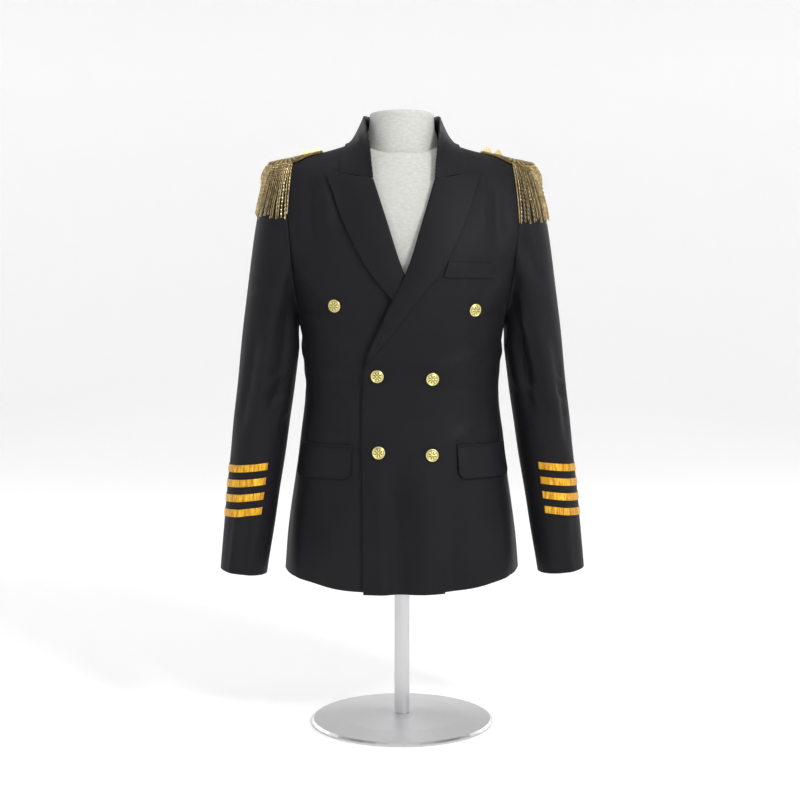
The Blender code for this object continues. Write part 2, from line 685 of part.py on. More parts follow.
def build_pockets(collection):
    corners = [on_body(front_guess(x, height)) for x, height in WELT]
    welt = on_body(patch(np.linspace(corners[0], corners[1], 5), np.linspace(corners[2], corners[3], 5),
                         np.linspace(corners[0], corners[2], 3), np.linspace(corners[1], corners[3], 3)))
    body_cloth("chest_welt", on_body(welt, overlap_lift(welt) + LAYER), collection)
    angles = np.linspace(*FLAP_ANGLES, 8)
    drops = np.linspace(FLAP_TOP - FLAP_DROP, FLAP_TOP, 4)
    flap = body_point(angles[None, :], drops[:, None])
    body_cloth("pocket_flap_right", mirrored(on_body(flap, LAYER)), collection)
    body_cloth("pocket_flap_left", on_body(flap, overlap_lift(flap) + LAYER), collection)


def build_buttons(collection):
    r = BUTTON_R
    profile = ((0.0, 0.0048), (0.35 * r, 0.0046), (0.66 * r, 0.0039), (0.80 * r, 0.0032),
               (0.86 * r, 0.0036), (0.95 * r, 0.0034), (r, 0.0026), (0.94 * r, 0.0018),
               (0.36 * r, 0.0014), (0.30 * r, 0.0), (0.0, 0.0))
    for name, x, height in BUTTONS:
        on_left = x > along(FRONT_EDGE, 1, height)
        front = bpy.data.objects["front_left" if on_left else "front_right"]
        seat(turned(name, profile, collection, "gilt"), front, on_body(front_guess(x, height)))


def build_epaulette(collection, name, flip):
    board, fringe = board_grid(), fringe_grid()
    plate = cloth(f"epaulette_board_{name}", board * flip, body_normals(board) * flip, collection,
                  "gilt", BOARD_WALL)
    cloth(f"epaulette_fringe_{name}", fringe * flip, grid_normals(fringe) * flip, collection, "gilt",
          FRINGE_WALL)
    for number, x in STUDS:
        bm = bmesh.new()
        bmesh.ops.create_cone(bm, cap_ends=True, segments=4, radius1=STUD_R, radius2=STUD_TOP_R,
                              depth=STUD_TALL)
        bmesh.ops.rotate(bm, verts=bm.verts, matrix=Matrix.Rotation(math.radians(45.0), 3, "Z"))
        bmesh.ops.translate(bm, verts=bm.verts, vec=(0.0, 0.0, 0.5 * STUD_TALL))
        stud = place(f"epaulette_stud_{name}_{number}", bm, collection, "gilt", smooth=False)
        point = on_body(np.array((x, RIDGE_Y, HEM_Z + ridge_height(x))))
        seat(stud, plate, point * flip)


def closed_loft(name, rings, collection, look):
    """A solid through rings that each go once round."""
    bm = grid_mesh(np.concatenate((rings, rings[:, :1]), axis=1))
    bmesh.ops.remove_doubles(bm, verts=bm.verts, dist=1e-6)
    bmesh.ops.holes_fill(bm, edges=[edge for edge in bm.edges if edge.is_boundary], sides=0)
    bmesh.ops.recalc_face_normals(bm, faces=bm.faces)
    return place(name, bm, collection, look)


def form_rings():
    """Torso, shoulders and neck of the form, inside the cloth all round."""
    turn = np.linspace(0.0, 2.0 * math.pi, 29)[:-1]
    rings = []
    for height in np.concatenate((np.linspace(FORM_LOW, 0.43, 9), (0.49, 0.55, 0.60))):
        rings.append(on_body(body_point(turn, height), -FORM_CLEAR))
        rings[-1][:, 2] = HEM_Z + height
    chest = body_point(turn, 0.60)
    tilt = np.sin(turn)
    base = np.stack((0.060 * np.cos(turn), NECK_MID_Y - 0.063 * tilt,
                     HEM_Z + 0.713 - 0.018 * tilt - 0.005 * tilt ** 2), axis=-1)
    for step in (0.14, 0.3, 0.48, 0.66, 0.84, 1.0):
        guess = chest + (base - chest) * step
        guess[:, 2] += 0.060 * math.sin(math.pi * step ** 0.7)
        near = (FORM_CLEAR - FORM_REST) * ease(guess[:, 2] - HEM_Z, 0.64, 0.70)
        skin = on_body(guess, near - FORM_CLEAR)
        rings.append(skin + (base - skin) * float(ease(step, 0.45, 1.0)))
    for ring in rings:
        past = np.abs(ring[:, 0]) - (FORM_SIDE - 0.02)
        clipped = FORM_SIDE - 0.02 + 0.02 * np.tanh(np.maximum(past, 0.0) / 0.02)
        ring[:, 0] = np.sign(ring[:, 0]) * np.where(past > 0.0, clipped, np.abs(ring[:, 0]))
    for height, wide, deep in NECK:
        rings.append(np.stack((wide * np.cos(turn), NECK_MID_Y - deep * np.sin(turn),
                               np.full(len(turn), HEM_Z + height)), axis=-1))
    return np.stack(rings)


def build_form(collection):
    closed_loft("form_torso", form_rings(), collection, "linen")
    low = HEM_Z + FORM_LOW - 0.0003
    pole = turned("form_pole", ((0.0, low), (POLE_R, low), (POLE_R, BASE_TALL + 0.0003),
                                (0.0, BASE_TALL + 0.0003)), collection, "stand_metal")
    pole.data.set_sharp_from_angle(angle=math.radians(30.0))
    turned("form_base", ((0.0, BASE_TALL), (0.045, BASE_TALL), (0.10, BASE_TALL - 0.003),
                         (BASE_R - 0.004, 0.0062), (BASE_R, 0.0035), (BASE_R - 0.0008, 0.0),
                         (0.0, 0.0)), collection, "stand_metal", 40)


def main():
    for thing in list(bpy.data.objects):
        bpy.data.objects.remove(thing)
    jacket = bpy.data.collections.new("pilot_uniform_jacket")
    bpy.context.scene.collection.children.link(jacket)
    build_form(jacket)
    build_body(jacket)
    build_lapels_and_collar(jacket)
    build_sleeves(jacket)
    build_pockets(jacket)
    build_buttons(jacket)
    build_epaulette(jacket, "left", np.array((1.0, 1.0, 1.0)))
    build_epaulette(jacket, "right", np.array((-1.0, 1.0, 1.0)))


main()
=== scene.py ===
"""Looks of the pilot uniform jacket on its limbless dress form.

Every cloth piece repeats the part's own seam lines and surfaces at a finer step, with its folds,
turned edges and weave. Metres, +Z up; the jacket faces -Y and the wearer's left is +X.
Heights in the tables are measured up from the jacket's front hem.
"""

import math

import bmesh
import bpy
import numpy as np
from mathutils import Matrix, Vector


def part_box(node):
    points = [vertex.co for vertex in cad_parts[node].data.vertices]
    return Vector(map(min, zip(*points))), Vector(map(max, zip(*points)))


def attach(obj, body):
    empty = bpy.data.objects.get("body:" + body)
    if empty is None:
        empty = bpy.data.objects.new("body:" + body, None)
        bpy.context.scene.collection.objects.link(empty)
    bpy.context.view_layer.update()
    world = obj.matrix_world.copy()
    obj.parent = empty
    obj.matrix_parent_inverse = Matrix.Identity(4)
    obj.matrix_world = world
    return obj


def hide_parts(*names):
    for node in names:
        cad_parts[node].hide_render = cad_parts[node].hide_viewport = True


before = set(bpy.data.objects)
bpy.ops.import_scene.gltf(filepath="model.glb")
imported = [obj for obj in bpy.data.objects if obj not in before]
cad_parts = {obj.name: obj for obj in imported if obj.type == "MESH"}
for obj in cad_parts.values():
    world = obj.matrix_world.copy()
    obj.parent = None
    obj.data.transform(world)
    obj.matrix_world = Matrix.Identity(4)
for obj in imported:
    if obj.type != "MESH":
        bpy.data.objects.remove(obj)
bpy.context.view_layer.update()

# ---------------------------------------------------------------- sizes shared with the part
HEM_Z = 0.235            # front hem above the floor
WALL = 0.0016            # thickness of one layer of suiting
SEAM_TUCK = 0.0002       # how far two pieces run into each other under their seam
LAYER = 0.0026           # rise from a panel to a small piece that lies on it
LAP = 0.0036             # rise from one front to the front that laps over it
ROUNDNESS = 2.3          # power of the rounded sections: 2 is an ellipse, more is squarer

TURN_H = 0.46            # height where chest and back start to lean in towards the shoulder
RIDGE_H = 0.724          # shoulder line carried in to the middle of the neck
RIDGE_DROP = 0.213       # fall of the shoulder line for each metre outwards
NAPE_RISE = 0.030        # extra height of the cloth beside the neck
NAPE_REACH = 0.060
RIDGE_Y = 0.012          # how far behind the middle the shoulder line lies

ARM_CELLS = 20           # steps round an armhole, which place the sleeve and side seams
ARM_SEAMS = (7, 13)      # steps where those seams meet the armhole
SIDE_SHARE = 9 / 16      # share of a panel's height that lies below the armhole
FRONT_TURN = 25.0        # degrees round the body from the side to each side seam
BACK_TURN = -38.0

FORM_CLEAR = 0.0080      # space between the form and the cloth over it
FORM_REST = 0.0068       # and on the shoulders, where the jacket rests
FORM_LOW = 0.050
FORM_SIDE = 0.170        # flat of the form's side, inside the armhole
FORM_SOFT = 0.02         # width over which the side turns flat
NECK_MID_Y = 0.010
STRIPE_WIDE = 0.0116
STRIPE_LOW = 0.1250      # height of the lowest band's middle
STRIPE_PITCH = 0.0232
STRIPE_SLANT = 0.0089    # how far each band falls from the front of the sleeve to its outer side
STRIPE_REACH = 6.55      # steps round the arm from the outer side to each end of a band
STRIPE_COUNT = 4
STRIPE_WALL = 0.0009
BOARD_WALL = 0.0022
BOARD_LIFT = 0.5 * WALL + 0.0011 + 0.5 * BOARD_WALL
FRINGE_WALL = 0.0026

# columns: height, half width, front depth, back depth
BODY = np.array((
    (-0.03, 0.190, 0.124, 0.131),
    (0.05, 0.186, 0.122, 0.129),
    (0.16, 0.173, 0.117, 0.120),
    (0.24, 0.1645, 0.112, 0.107),
    (0.31, 0.1565, 0.108, 0.099),
    (0.37, 0.1595, 0.113, 0.104),
    (0.43, 0.167, 0.120, 0.113),
    (0.50, 0.192, 0.124, 0.120),
    (0.58, 0.214, 0.124, 0.123),
    (0.66, 0.222, 0.120, 0.120),
    (0.78, 0.222, 0.114, 0.110),
))
HALF_WIDTH, FRONT_DEPTH, BACK_DEPTH = 1, 2, 3

# columns: height, x of the wearer's left front edge, which is the roll line above the break
FRONT_EDGE = np.array((
    (-0.001, -0.0650), (0.150, -0.0655), (0.300, -0.0645), (0.368, -0.0570),
    (0.412, -0.0390), (0.453, -0.0205), (0.494, 0.0000), (0.584, 0.0300), (0.648, 0.0495),
))
BREAK_H = 0.362          # height where the lapel starts to turn back

# columns: height, x along the lapel's outer edge from the break to the point
LAPEL_EDGE = np.array((
    (0.372, -0.0500), (0.400, -0.0250), (0.438, 0.0030), (0.470, 0.0270), (0.503, 0.0540),
    (0.545, 0.0775), (0.590, 0.0980), (0.632, 0.1120), (0.657, 0.1215),
))
# columns: x, height along the seam between lapel and collar, then out to the lapel's point
GORGE = np.array(((0.0495, 0.648), (0.081, 0.652), (0.1010, 0.657)))
LAPEL_POINT = (0.1215, 0.657)

# columns: x, y, height of the neck seam, from the nape to the roll line
NECK_SEAM = np.array((
    (0.000, 0.081, 0.716), (0.040, 0.070, 0.716), (0.070, 0.037, 0.712), (0.079, 0.010, 0.712),
    (0.074, -0.030, 0.698), (0.062, -0.064, 0.674), (0.0495, -0.084, 0.648),
))
NECK_SIDE = 3            # the row of NECK_SEAM where the shoulder seam meets it

# columns: x, y, height of the collar's fold, and x, y, height of its outer edge
COLLAR = np.array((
    (0.000, 0.074, 0.761, 0.000, 0.097, 0.702),
    (0.030, 0.067, 0.761, 0.046, 0.088, 0.703),
    (0.052, 0.044, 0.760, 0.080, 0.054, 0.705),
    (0.0605, 0.008, 0.757, 0.089, 0.008, 0.709),
    (0.0585, -0.030, 0.735, 0.0935, -0.034, 0.697),
    (0.0535, -0.064, 0.697, 0.0985, -0.056, 0.678),
    (0.0495, -0.087, 0.651, 0.1020, -0.068, 0.660),
))

# armhole: a slanted oval, middle and reach on each axis
ARMHOLE_MID = (0.1785, 0.005, 0.551)
ARMHOLE_REACH = (0.0185, 0.070, 0.131)

# columns: height, x, y of the sleeve's middle, and its half width and half depth
SLEEVE = np.array((
    (0.026, 0.2565, -0.038, 0.0370, 0.0490),
    (0.110, 0.2470, -0.029, 0.0400, 0.0530),
    (0.200, 0.2360, -0.014, 0.0430, 0.0580),
    (0.290, 0.2250, -0.004, 0.0450, 0.0630),
    (0.385, 0.2135, -0.003, 0.0462, 0.0670),
))
SLEEVE_TILT = math.radians(6.6)
HEAD_FULLNESS = 0.28     # how far the sleeve head stands out from the armhole

# chest welt: columns x, height of its four corners, lower then upper
WELT = ((0.0575, 0.494), (0.1390, 0.494), (0.0650, 0.517), (0.1390, 0.517))
# hip pocket flap: angles round the body of its front and back end, and its heights
FLAP_ANGLES = (math.radians(64.0), math.radians(17.0))
FLAP_TOP = 0.229
FLAP_DROP = 0.049
FLAP_ROUND = 0.013       # radius of the flap's lower corners
JET_WIDE = 0.0050        # the narrow piped edge above the flap

# epaulette: its strap and round end on the shoulder
BOARD_IN = 0.127
BOARD_MID = 0.184
BOARD_OUT = 0.2150
BOARD_HALF = 0.034
STRAP_HALF = 0.021
FRINGE_FAN = math.radians(104.0)
FRINGE_LOW = 0.590
FRINGE_CELLS = 14
FRINGE_CLEAR = 0.0016
FRINGE_BULGE = 0.0110    # how far the chains stand out as they turn down over the rim
FRINGE_FALL = 0.80       # share of the rim's turn that the chains keep as they spread

# ---------------------------------------------------------------- sizes of the finer step
FRONT_COLUMNS, FRONT_ROWS = 62, 168
BACK_COLUMNS, BACK_ROWS = 48, 160
SIDE_COLUMNS, SIDE_ROWS = 26, 100
LAPEL_COLUMNS, LAPEL_ROWS = 26, 80
COLLAR_COLUMNS, COLLAR_ROWS = 64, 34
CAP_ROWS, ARM_ROWS = 40, 96
UPPER_COLUMNS, UNDER_COLUMNS = 66, 30
TURNED_EDGE = 0.0010     # radius of a turned edge of cloth
ROLL_R = 0.0013          # radius of the fold along the lapel's roll line
FOLD_DEPTH = 2.2         # scales every rise in the tables of folds
ARM_R = 0.05             # radius on which degrees round a sleeve are laid flat
CREASE = math.radians(50.0)  # faces that meet more sharply than this keep a hard edge
MERGED = 1e-6            # points this close are one
SIDES = {"left": np.array((1.0, 1.0, 1.0)), "right": np.array((-1.0, 1.0, 1.0))}

STRANDS = 50             # chains in a fringe
LINK_PITCH = 0.0034
LINK_LONG, LINK_WIDE, LINK_WIRE = 0.00210, 0.00105, 0.00046
LONGER = {"left": 0.011, "right": 0.004}     # how far the chains hang below the fringe's surface

# Folds. Columns: across and height at the start, the same at the end, half width, rise.
# A rise below zero is a trough. Across is x on fronts and back and y on the sides.
FRONT_FOLDS = (
    (-0.010, 0.235, -0.013, -0.060, 0.0190, -0.0030),
    (-0.040, 0.215, -0.036, -0.060, 0.0150, 0.0020),
    (0.030, 0.205, 0.036, -0.060, 0.0200, 0.0018),
    (0.075, 0.190, 0.083, -0.060, 0.0210, -0.0022),
    (-0.100, 0.170, -0.108, -0.060, 0.0220, 0.0016),
    (-0.163, 0.150, -0.171, -0.060, 0.0120, 0.0018),
    (0.158, 0.160, 0.168, -0.060, 0.0140, 0.0017),
    (-0.146, 0.655, -0.143, 0.535, 0.0120, -0.0024),
    (0.148, 0.650, 0.146, 0.530, 0.0125, -0.0023),
    (-0.128, 0.640, -0.121, 0.560, 0.0130, 0.0014),
    (0.130, 0.640, 0.124, 0.555, 0.0130, 0.0013),
    (-0.042, 0.345, -0.125, 0.372, 0.0085, 0.0011),
    (-0.050, 0.325, -0.140, 0.318, 0.0090, -0.0012),
    (0.040, 0.345, 0.130, 0.383, 0.0090, 0.0012),
    (0.052, 0.322, 0.142, 0.327, 0.0095, -0.0013),
    (-0.048, 0.230, -0.118, 0.262, 0.0085, 0.0010),
    (0.050, 0.226, 0.125, 0.268, 0.0090, 0.0010),
    (-0.112, 0.452, -0.163, 0.500, 0.0085, 0.0012),
    (0.114, 0.446, 0.165, 0.505, 0.0090, 0.0013),
    (-0.120, 0.425, -0.158, 0.452, 0.0080, -0.0012),
    (0.122, 0.420, 0.160, 0.450, 0.0085, -0.0012),
)
BACK_FOLDS = (
    (-0.112, 0.640, -0.118, 0.470, 0.0150, -0.0024),
    (0.115, 0.640, 0.121, 0.475, 0.0155, -0.0023),
    (-0.092, 0.620, -0.096, 0.480, 0.0160, 0.0018),
    (0.095, 0.615, 0.100, 0.485, 0.0160, 0.0017),
    (-0.015, 0.365, -0.105, 0.400, 0.0095, 0.0013),
    (0.020, 0.350, 0.110, 0.392, 0.0100, 0.0014),
    (-0.020, 0.338, -0.110, 0.345, 0.0100, -0.0013),
    (0.012, 0.322, 0.100, 0.330, 0.0100, -0.0012),
    (-0.060, 0.240, -0.070, -0.060, 0.0230, 0.0022),
    (0.058, 0.230, 0.070, -0.060, 0.0240, 0.0023),
    (-0.108, 0.220, -0.122, -0.060, 0.0200, -0.0020),
    (0.104, 0.225, 0.120, -0.060, 0.0210, -0.0019),
    (0.008, 0.190, 0.012, -0.060, 0.0170, -0.0015),
)
SIDE_FOLDS = (
    (-0.030, 0.370, 0.025, 0.395, 0.0085, 0.0011),
    (-0.020, 0.330, 0.040, 0.322, 0.0090, -0.0011),
    (0.010, 0.220, 0.014, -0.060, 0.0190, 0.0018),
    (0.045, 0.200, 0.050, -0.060, 0.0180, -0.0016),
)
# Across is degrees round the sleeve: 0 outside, 90 in front, 180 against the body.
RIGHT_FOLDS = (
    (96.0, 0.480, 80.0, 0.250, 0.0110, 0.0021),
    (126.0, 0.470, 118.0, 0.280, 0.0100, -0.0022),
    (58.0, 0.420, 52.0, 0.240, 0.0110, -0.0016),
    (70.0, 0.170, 62.0, -0.010, 0.0085, 0.0014),
    (95.0, 0.150, 92.0, -0.010, 0.0080, -0.0012),
    (140.0, 0.350, 92.0, 0.322, 0.0075, 0.0016),
    (150.0, 0.322, 100.0, 0.296, 0.0080, -0.0015),
    (165.0, 0.288, 120.0, 0.270, 0.0080, 0.0012),
    (88.0, 0.575, 76.0, 0.490, 0.0105, -0.0016),
    (108.0, 0.560, 104.0, 0.470, 0.0090, 0.0014),
    (-60.0, 0.560, -78.0, 0.440, 0.0130, -0.0022),
    (-92.0, 0.530, -98.0, 0.400, 0.0120, 0.0018),
    (-150.0, 0.330, -90.0, 0.302, 0.0090, 0.0016),
    (-160.0, 0.300, -100.0, 0.268, 0.0090, -0.0016),
    (-40.0, 0.230, -48.0, 0.030, 0.0130, 0.0012),
)
LEFT_FOLDS = (
    (138.0, 0.480, 112.0, 0.270, 0.0100, -0.0030),
    (118.0, 0.475, 100.0, 0.330, 0.0070, 0.0018),
    (84.0, 0.450, 66.0, 0.220, 0.0120, 0.0017),
    (52.0, 0.410, 46.0, 0.230, 0.0110, -0.0014),
    (128.0, 0.450, 108.0, 0.398, 0.0050, 0.0013),
    (60.0, 0.334, 22.0, 0.318, 0.0065, 0.0014),
    (64.0, 0.318, 24.0, 0.303, 0.0065, -0.0012),
    (150.0, 0.335, 100.0, 0.300, 0.0080, 0.0014),
    (76.0, 0.165, 70.0, -0.010, 0.0085, 0.0013),
    (86.0, 0.570, 72.0, 0.480, 0.0105, -0.0015),
    (110.0, 0.562, 106.0, 0.475, 0.0090, 0.0013),
    (-62.0, 0.565, -80.0, 0.435, 0.0130, -0.0021),
    (-94.0, 0.525, -101.0, 0.395, 0.0120, 0.0017),
    (-155.0, 0.322, -88.0, 0.296, 0.0090, 0.0015),
    (-160.0, 0.292, -102.0, 0.262, 0.0090, -0.0015),
    (-45.0, 0.220, -52.0, 0.030, 0.0130, 0.0012),
)
ARM_FOLDS = {"left": LEFT_FOLDS, "right": RIGHT_FOLDS}
# Darts: columns as above, a narrow pressed line
DARTS = (
    (-0.1075, 0.437, -0.0985, 0.245, 0.0013, 0.0006),
    (0.1085, 0.436, 0.0995, 0.245, 0.0013, 0.0006),
)


# ---------------------------------------------------------------- curves and the body's surface
def along(table, column, at):
    """Reads one column of a table on a smooth curve; the first column holds the knots."""
    knots = table[:, 0]
    values = table[:, column]
    slopes = np.gradient(values, knots)
    at = np.clip(at, knots[0], knots[-1])
    k = np.clip(np.searchsorted(knots, at) - 1, 0, len(knots) - 2)
    span = knots[k + 1] - knots[k]
    t = (at - knots[k]) / span
    rise = t * t * (3.0 - 2.0 * t)
    bend = t * (t - 1.0) * span
    return (values[k] * (1.0 - rise) + values[k + 1] * rise
            + bend * ((t - 1.0) * slopes[k] + t * slopes[k + 1]))


def ease(value, start, end):
    """0 before start, 1 after end, smooth between."""
    t = np.clip((value - start) / (end - start), 0.0, 1.0)
    return t * t * (3.0 - 2.0 * t)


def ticks(cells):
    """Shares of an edge from 0 to 1, even, with a few more close to both ends."""
    even = np.linspace(0.0, 1.0, cells + 1)
    near = np.array((0.09, 0.22, 0.45)) / cells
    return np.sort(np.concatenate((even, near, 1.0 - near)))


def unit(vectors):
    return vectors / np.linalg.norm(vectors, axis=-1, keepdims=True)


def height_of(points):
    """Height above the front hem."""
    return points[..., 2] - HEM_Z


def gone_along(grid, axis=0):
    """Distance from the first row or column of a grid, or the start of a line, to each point."""
    steps = np.linalg.norm(np.diff(grid, axis=axis), axis=-1)
    return np.concatenate((np.zeros_like(steps.take([0], axis)), np.cumsum(steps, axis=axis)), axis)


def read_line(at, knots, line):
    """Points of a line, given what each of its own points is numbered."""
    return np.stack([np.interp(at, knots, line[:, axis]) for axis in range(3)], axis=-1)


def path(points, shares):
    """Points at the given shares of the length of a smooth curve through the given ones."""
    points = np.asarray(points, dtype=float)
    knots = gone_along(points)
    table = np.column_stack((knots, points))
    fine = np.linspace(0.0, knots[-1], 40 * len(points))
    curve = np.stack([along(table, column, fine) for column in (1, 2, 3)], axis=-1)
    gone = gone_along(curve)
    return read_line(np.asarray(shares) * gone[-1], gone, curve)


def ridge_height(x):
    """Height of the shoulder line above the hem, at a distance out from the middle."""
    return RIDGE_H - RIDGE_DROP * x + NAPE_RISE * np.exp(-(x / NAPE_REACH) ** 2)


def body_field(points):
    """Zero on the cloth round the body, less inside and more outside."""
    x = np.abs(points[..., 0])
    height = height_of(points)
    y = points[..., 1] - RIDGE_Y * ease(height, TURN_H, RIDGE_H)
    front = along(BODY, FRONT_DEPTH, height)
    back = along(BODY, BACK_DEPTH, height)
    deep = np.abs(y) / np.where(y < 0.0, front, back)
    wide = x / along(BODY, HALF_WIDTH, height)
    tall = np.clip((height - TURN_H) / (ridge_height(x) - TURN_H), 0.0, None)
    return (deep ** ROUNDNESS + wide ** ROUNDNESS + tall ** ROUNDNESS
            - (tall * wide) ** ROUNDNESS - 1.0)


def body_slope(points):
    """Direction and rate in which the body's field grows."""
    step = 1e-4
    return np.stack([(body_field(points + move) - body_field(points - move)) / (2.0 * step)
                     for move in np.eye(3) * step], axis=-1)


def body_normals(points):
    return unit(body_slope(points))


def on_body(points, lift=0.0):
    """Moves points onto the body's surface, then out from it by the lift."""
    points = np.array(points, dtype=float)
    for _ in range(14):
        slope = body_slope(points)
        steep = np.maximum((slope ** 2).sum(axis=-1), 1e-9)
        points = points - 0.9 * (body_field(points) / steep)[..., None] * slope
    return points + body_normals(points) * np.broadcast_to(lift, points.shape[:-1])[..., None]


def off_body(points, least):
    """Pushes points out until they are at least so far from the body's surface."""
    slope = body_slope(points)
    steep = np.linalg.norm(slope, axis=-1)
    away = body_field(points) / steep
    push = np.maximum(least - away, 0.0)
    return points + slope / steep[..., None] * push[..., None]


def body_point(angle, height):
    """A point on the body below the chest: 0 degrees at the side, 90 at the front."""
    power = 2.0 / ROUNDNESS
    cos, sin = np.cos(angle), np.sin(angle)
    depth = np.where(sin > 0.0, along(BODY, FRONT_DEPTH, height), along(BODY, BACK_DEPTH, height))
    return np.stack(np.broadcast_arrays(
        along(BODY, HALF_WIDTH, height) * np.sign(cos) * np.abs(cos) ** power,
        -depth * np.sign(sin) * np.abs(sin) ** power,
        HEM_Z + height), axis=-1)


def front_guess(x, height):
    """A point near the front of the chest, ready for on_body."""
    x, height = np.broadcast_arrays(np.asarray(x, float), np.asarray(height, float))
    wide = np.clip(np.abs(x) / along(BODY, HALF_WIDTH, height), 0.0, 0.97)
    tall = np.clip((height - TURN_H) / (ridge_height(np.abs(x)) - TURN_H), 0.0, 0.97)
    shrink = ((1.0 - wide ** ROUNDNESS) * (1.0 - tall ** ROUNDNESS)) ** (1.0 / ROUNDNESS)
    y = RIDGE_Y * ease(height, TURN_H, RIDGE_H) - along(BODY, FRONT_DEPTH, height) * shrink
    return np.stack((x, y, HEM_Z + height), axis=-1)


def armhole(angle):
    """The armhole seam: 0 at the shoulder, 90 degrees at the front, 180 under the arm."""
    mid, reach = ARMHOLE_MID, ARMHOLE_REACH
    return on_body(np.stack((mid[0] + reach[0] * np.cos(angle), mid[1] - reach[1] * np.sin(angle),
                             HEM_Z + mid[2] + reach[2] * np.cos(angle)), axis=-1))


def arm_turn(steps):
    """Angle round the arm at a number of its steps."""
    return np.asarray(steps) * 2.0 * math.pi / ARM_CELLS


def lifted(points):
    """Adds the hem's height to a table of points measured from the hem."""
    return np.asarray(points, float) + (0.0, 0.0, HEM_Z)


def mirrored(points):
    return points * SIDES["right"]


# ---------------------------------------------------------------- folds
def folds(table, across, height):
    """Rise of all the folds of a table: each is soft, bends a little and has a shallow far side."""
    total = np.zeros(np.broadcast(across, height).shape)
    for number, (x0, h0, x1, h1, half, rise) in enumerate(table):
        run = np.array((x1 - x0, h1 - h0))
        length = np.hypot(*run)
        share = ((across - x0) * run[0] + (height - h0) * run[1]) / length ** 2
        aside = ((height - h0) * run[0] - (across - x0) * run[1]) / length
        aside = aside + 0.22 * half * np.sin(5.0 * share + 1.7 * number)
        thin = ease(share, -0.05, 0.34) * (1.0 - ease(share, 0.70, 1.06))
        ridge = np.exp(-(aside / half) ** 2)
        far = np.exp(-((aside - 1.9 * half) / (1.3 * half)) ** 2)
        total = total + rise * thin * (ridge - 0.38 * far)
    return FOLD_DEPTH * total


def ripple(points, reach=1.0):
    """Slight broad unevenness of worn cloth."""
    x, y, z = np.moveaxis(points, -1, 0)
    wave = (np.sin(31.0 * x + 17.0 * z + 2.0 * np.sin(23.0 * z))
            + np.sin(-26.0 * x + 39.0 * z + 21.0 * y + 1.4)
            + 0.7 * np.sin(58.0 * z + 44.0 * y + 35.0 * x + 0.6))
    return 0.00022 * reach * wave


def body_folds(points):
    """Rise of the folds at points of the fronts, sides and back."""
    x, y, height = points[..., 0], points[..., 1], height_of(points)
    in_front = ease(-y, -0.005, 0.035)
    behind = ease(y, -0.005, 0.035)
    aside = ease(np.abs(x), 0.125, 0.150)
    return (in_front * folds(FRONT_FOLDS, x, height) + behind * folds(BACK_FOLDS, x, height)
            + aside * folds(SIDE_FOLDS, y, height) + ripple(points))


def overlap_lift(points):
    """How far the wearer's left front stands out where it laps over the right one."""
    height = height_of(points)
    across = 1.0 - ease(points[..., 0], 0.080, 0.125)
    below_v = 1.0 - ease(height, 0.50, 0.60)
    over_lapel = ease(height, 0.26, 0.36) * below_v
    return across * LAP * (below_v + over_lapel)


# ---------------------------------------------------------------- seam lines
def front_edge(shares):
    heights = np.linspace(FRONT_EDGE[0, 0], FRONT_EDGE[-1, 0], 60)
    return on_body(path(front_guess(along(FRONT_EDGE, 1, heights), heights), shares))


def side_seam(step, degrees, shares):
    """A seam from the hem up to the armhole; degrees place it round the body."""
    turn = math.radians(degrees)
    low = [body_point(turn, height) for height in (0.019, 0.10, 0.20, 0.30, 0.37)]
    return on_body(path(low + [armhole(arm_turn(step))], shares))


def neck_line(first, last, shares):
    return on_body(path(lifted(NECK_SEAM[first:last + 1]), shares))


def shoulder_seam(shares):
    tip = armhole(np.array(0.0))
    neck = neck_line(0, NECK_SIDE, np.array((1.0,)))[-1]
    return on_body(neck + (tip - neck) * np.asarray(shares)[:, None])


def side_and_armhole(first, last, degrees, shares):
    """The edge of a front or back: its side seam, then the armhole up to the shoulder."""
    low = shares[shares <= SIDE_SHARE] / SIDE_SHARE
    high = (shares[shares > SIDE_SHARE] - SIDE_SHARE) / (1.0 - SIDE_SHARE)
    return np.vstack((side_seam(first, degrees, low),
                      armhole(arm_turn(first + (last - first) * high))))


def patch(low, high, start, end, u, v):
    """Fills the space between four edges: low and high run across, start and end run up."""
    u, v = u[None, :, None], v[:, None, None]
    across = (1.0 - v) * low[None] + v * high[None]
    up = (1.0 - u) * start[:, None] + u * end[:, None]
    corners = ((1.0 - u) * (1.0 - v) * low[0] + u * (1.0 - v) * low[-1]
               + (1.0 - u) * v * high[0] + u * v * high[-1])
    return across + up - corners


def drawn_in(grid, gap=-SEAM_TUCK):
    """Pulls the four edges of a grid in by half a gap, or out where it is below zero."""
    grid = grid.copy()
    for edge, inner in ((0, 1), (-1, -2)):
        for view in (grid, grid.swapaxes(0, 1)):
            step = view[inner] - view[edge]
            reach = np.linalg.norm(step, axis=-1, keepdims=True)
            view[edge] += step * np.minimum(0.5 * gap / reach, 0.6)
    return grid


# ---------------------------------------------------------------- surfaces of the pieces
def front_grid():
    u, v = ticks(FRONT_COLUMNS), ticks(FRONT_ROWS)
    edge = front_edge(v)
    side = side_and_armhole(ARM_SEAMS[0], 0, FRONT_TURN, v)
    hem = on_body(path((edge[0], front_guess(0.06, 0.002), front_guess(0.12, 0.008), side[0]), u))
    neck, shoulder = u[u <= 0.5], u[u > 0.5]
    top = np.vstack((neck_line(NECK_SIDE, len(NECK_SEAM) - 1, 1.0 - 2.0 * neck),
                     shoulder_seam(2.0 * shoulder - 1.0)))
    return on_body(patch(hem, top, edge, side, u, v))


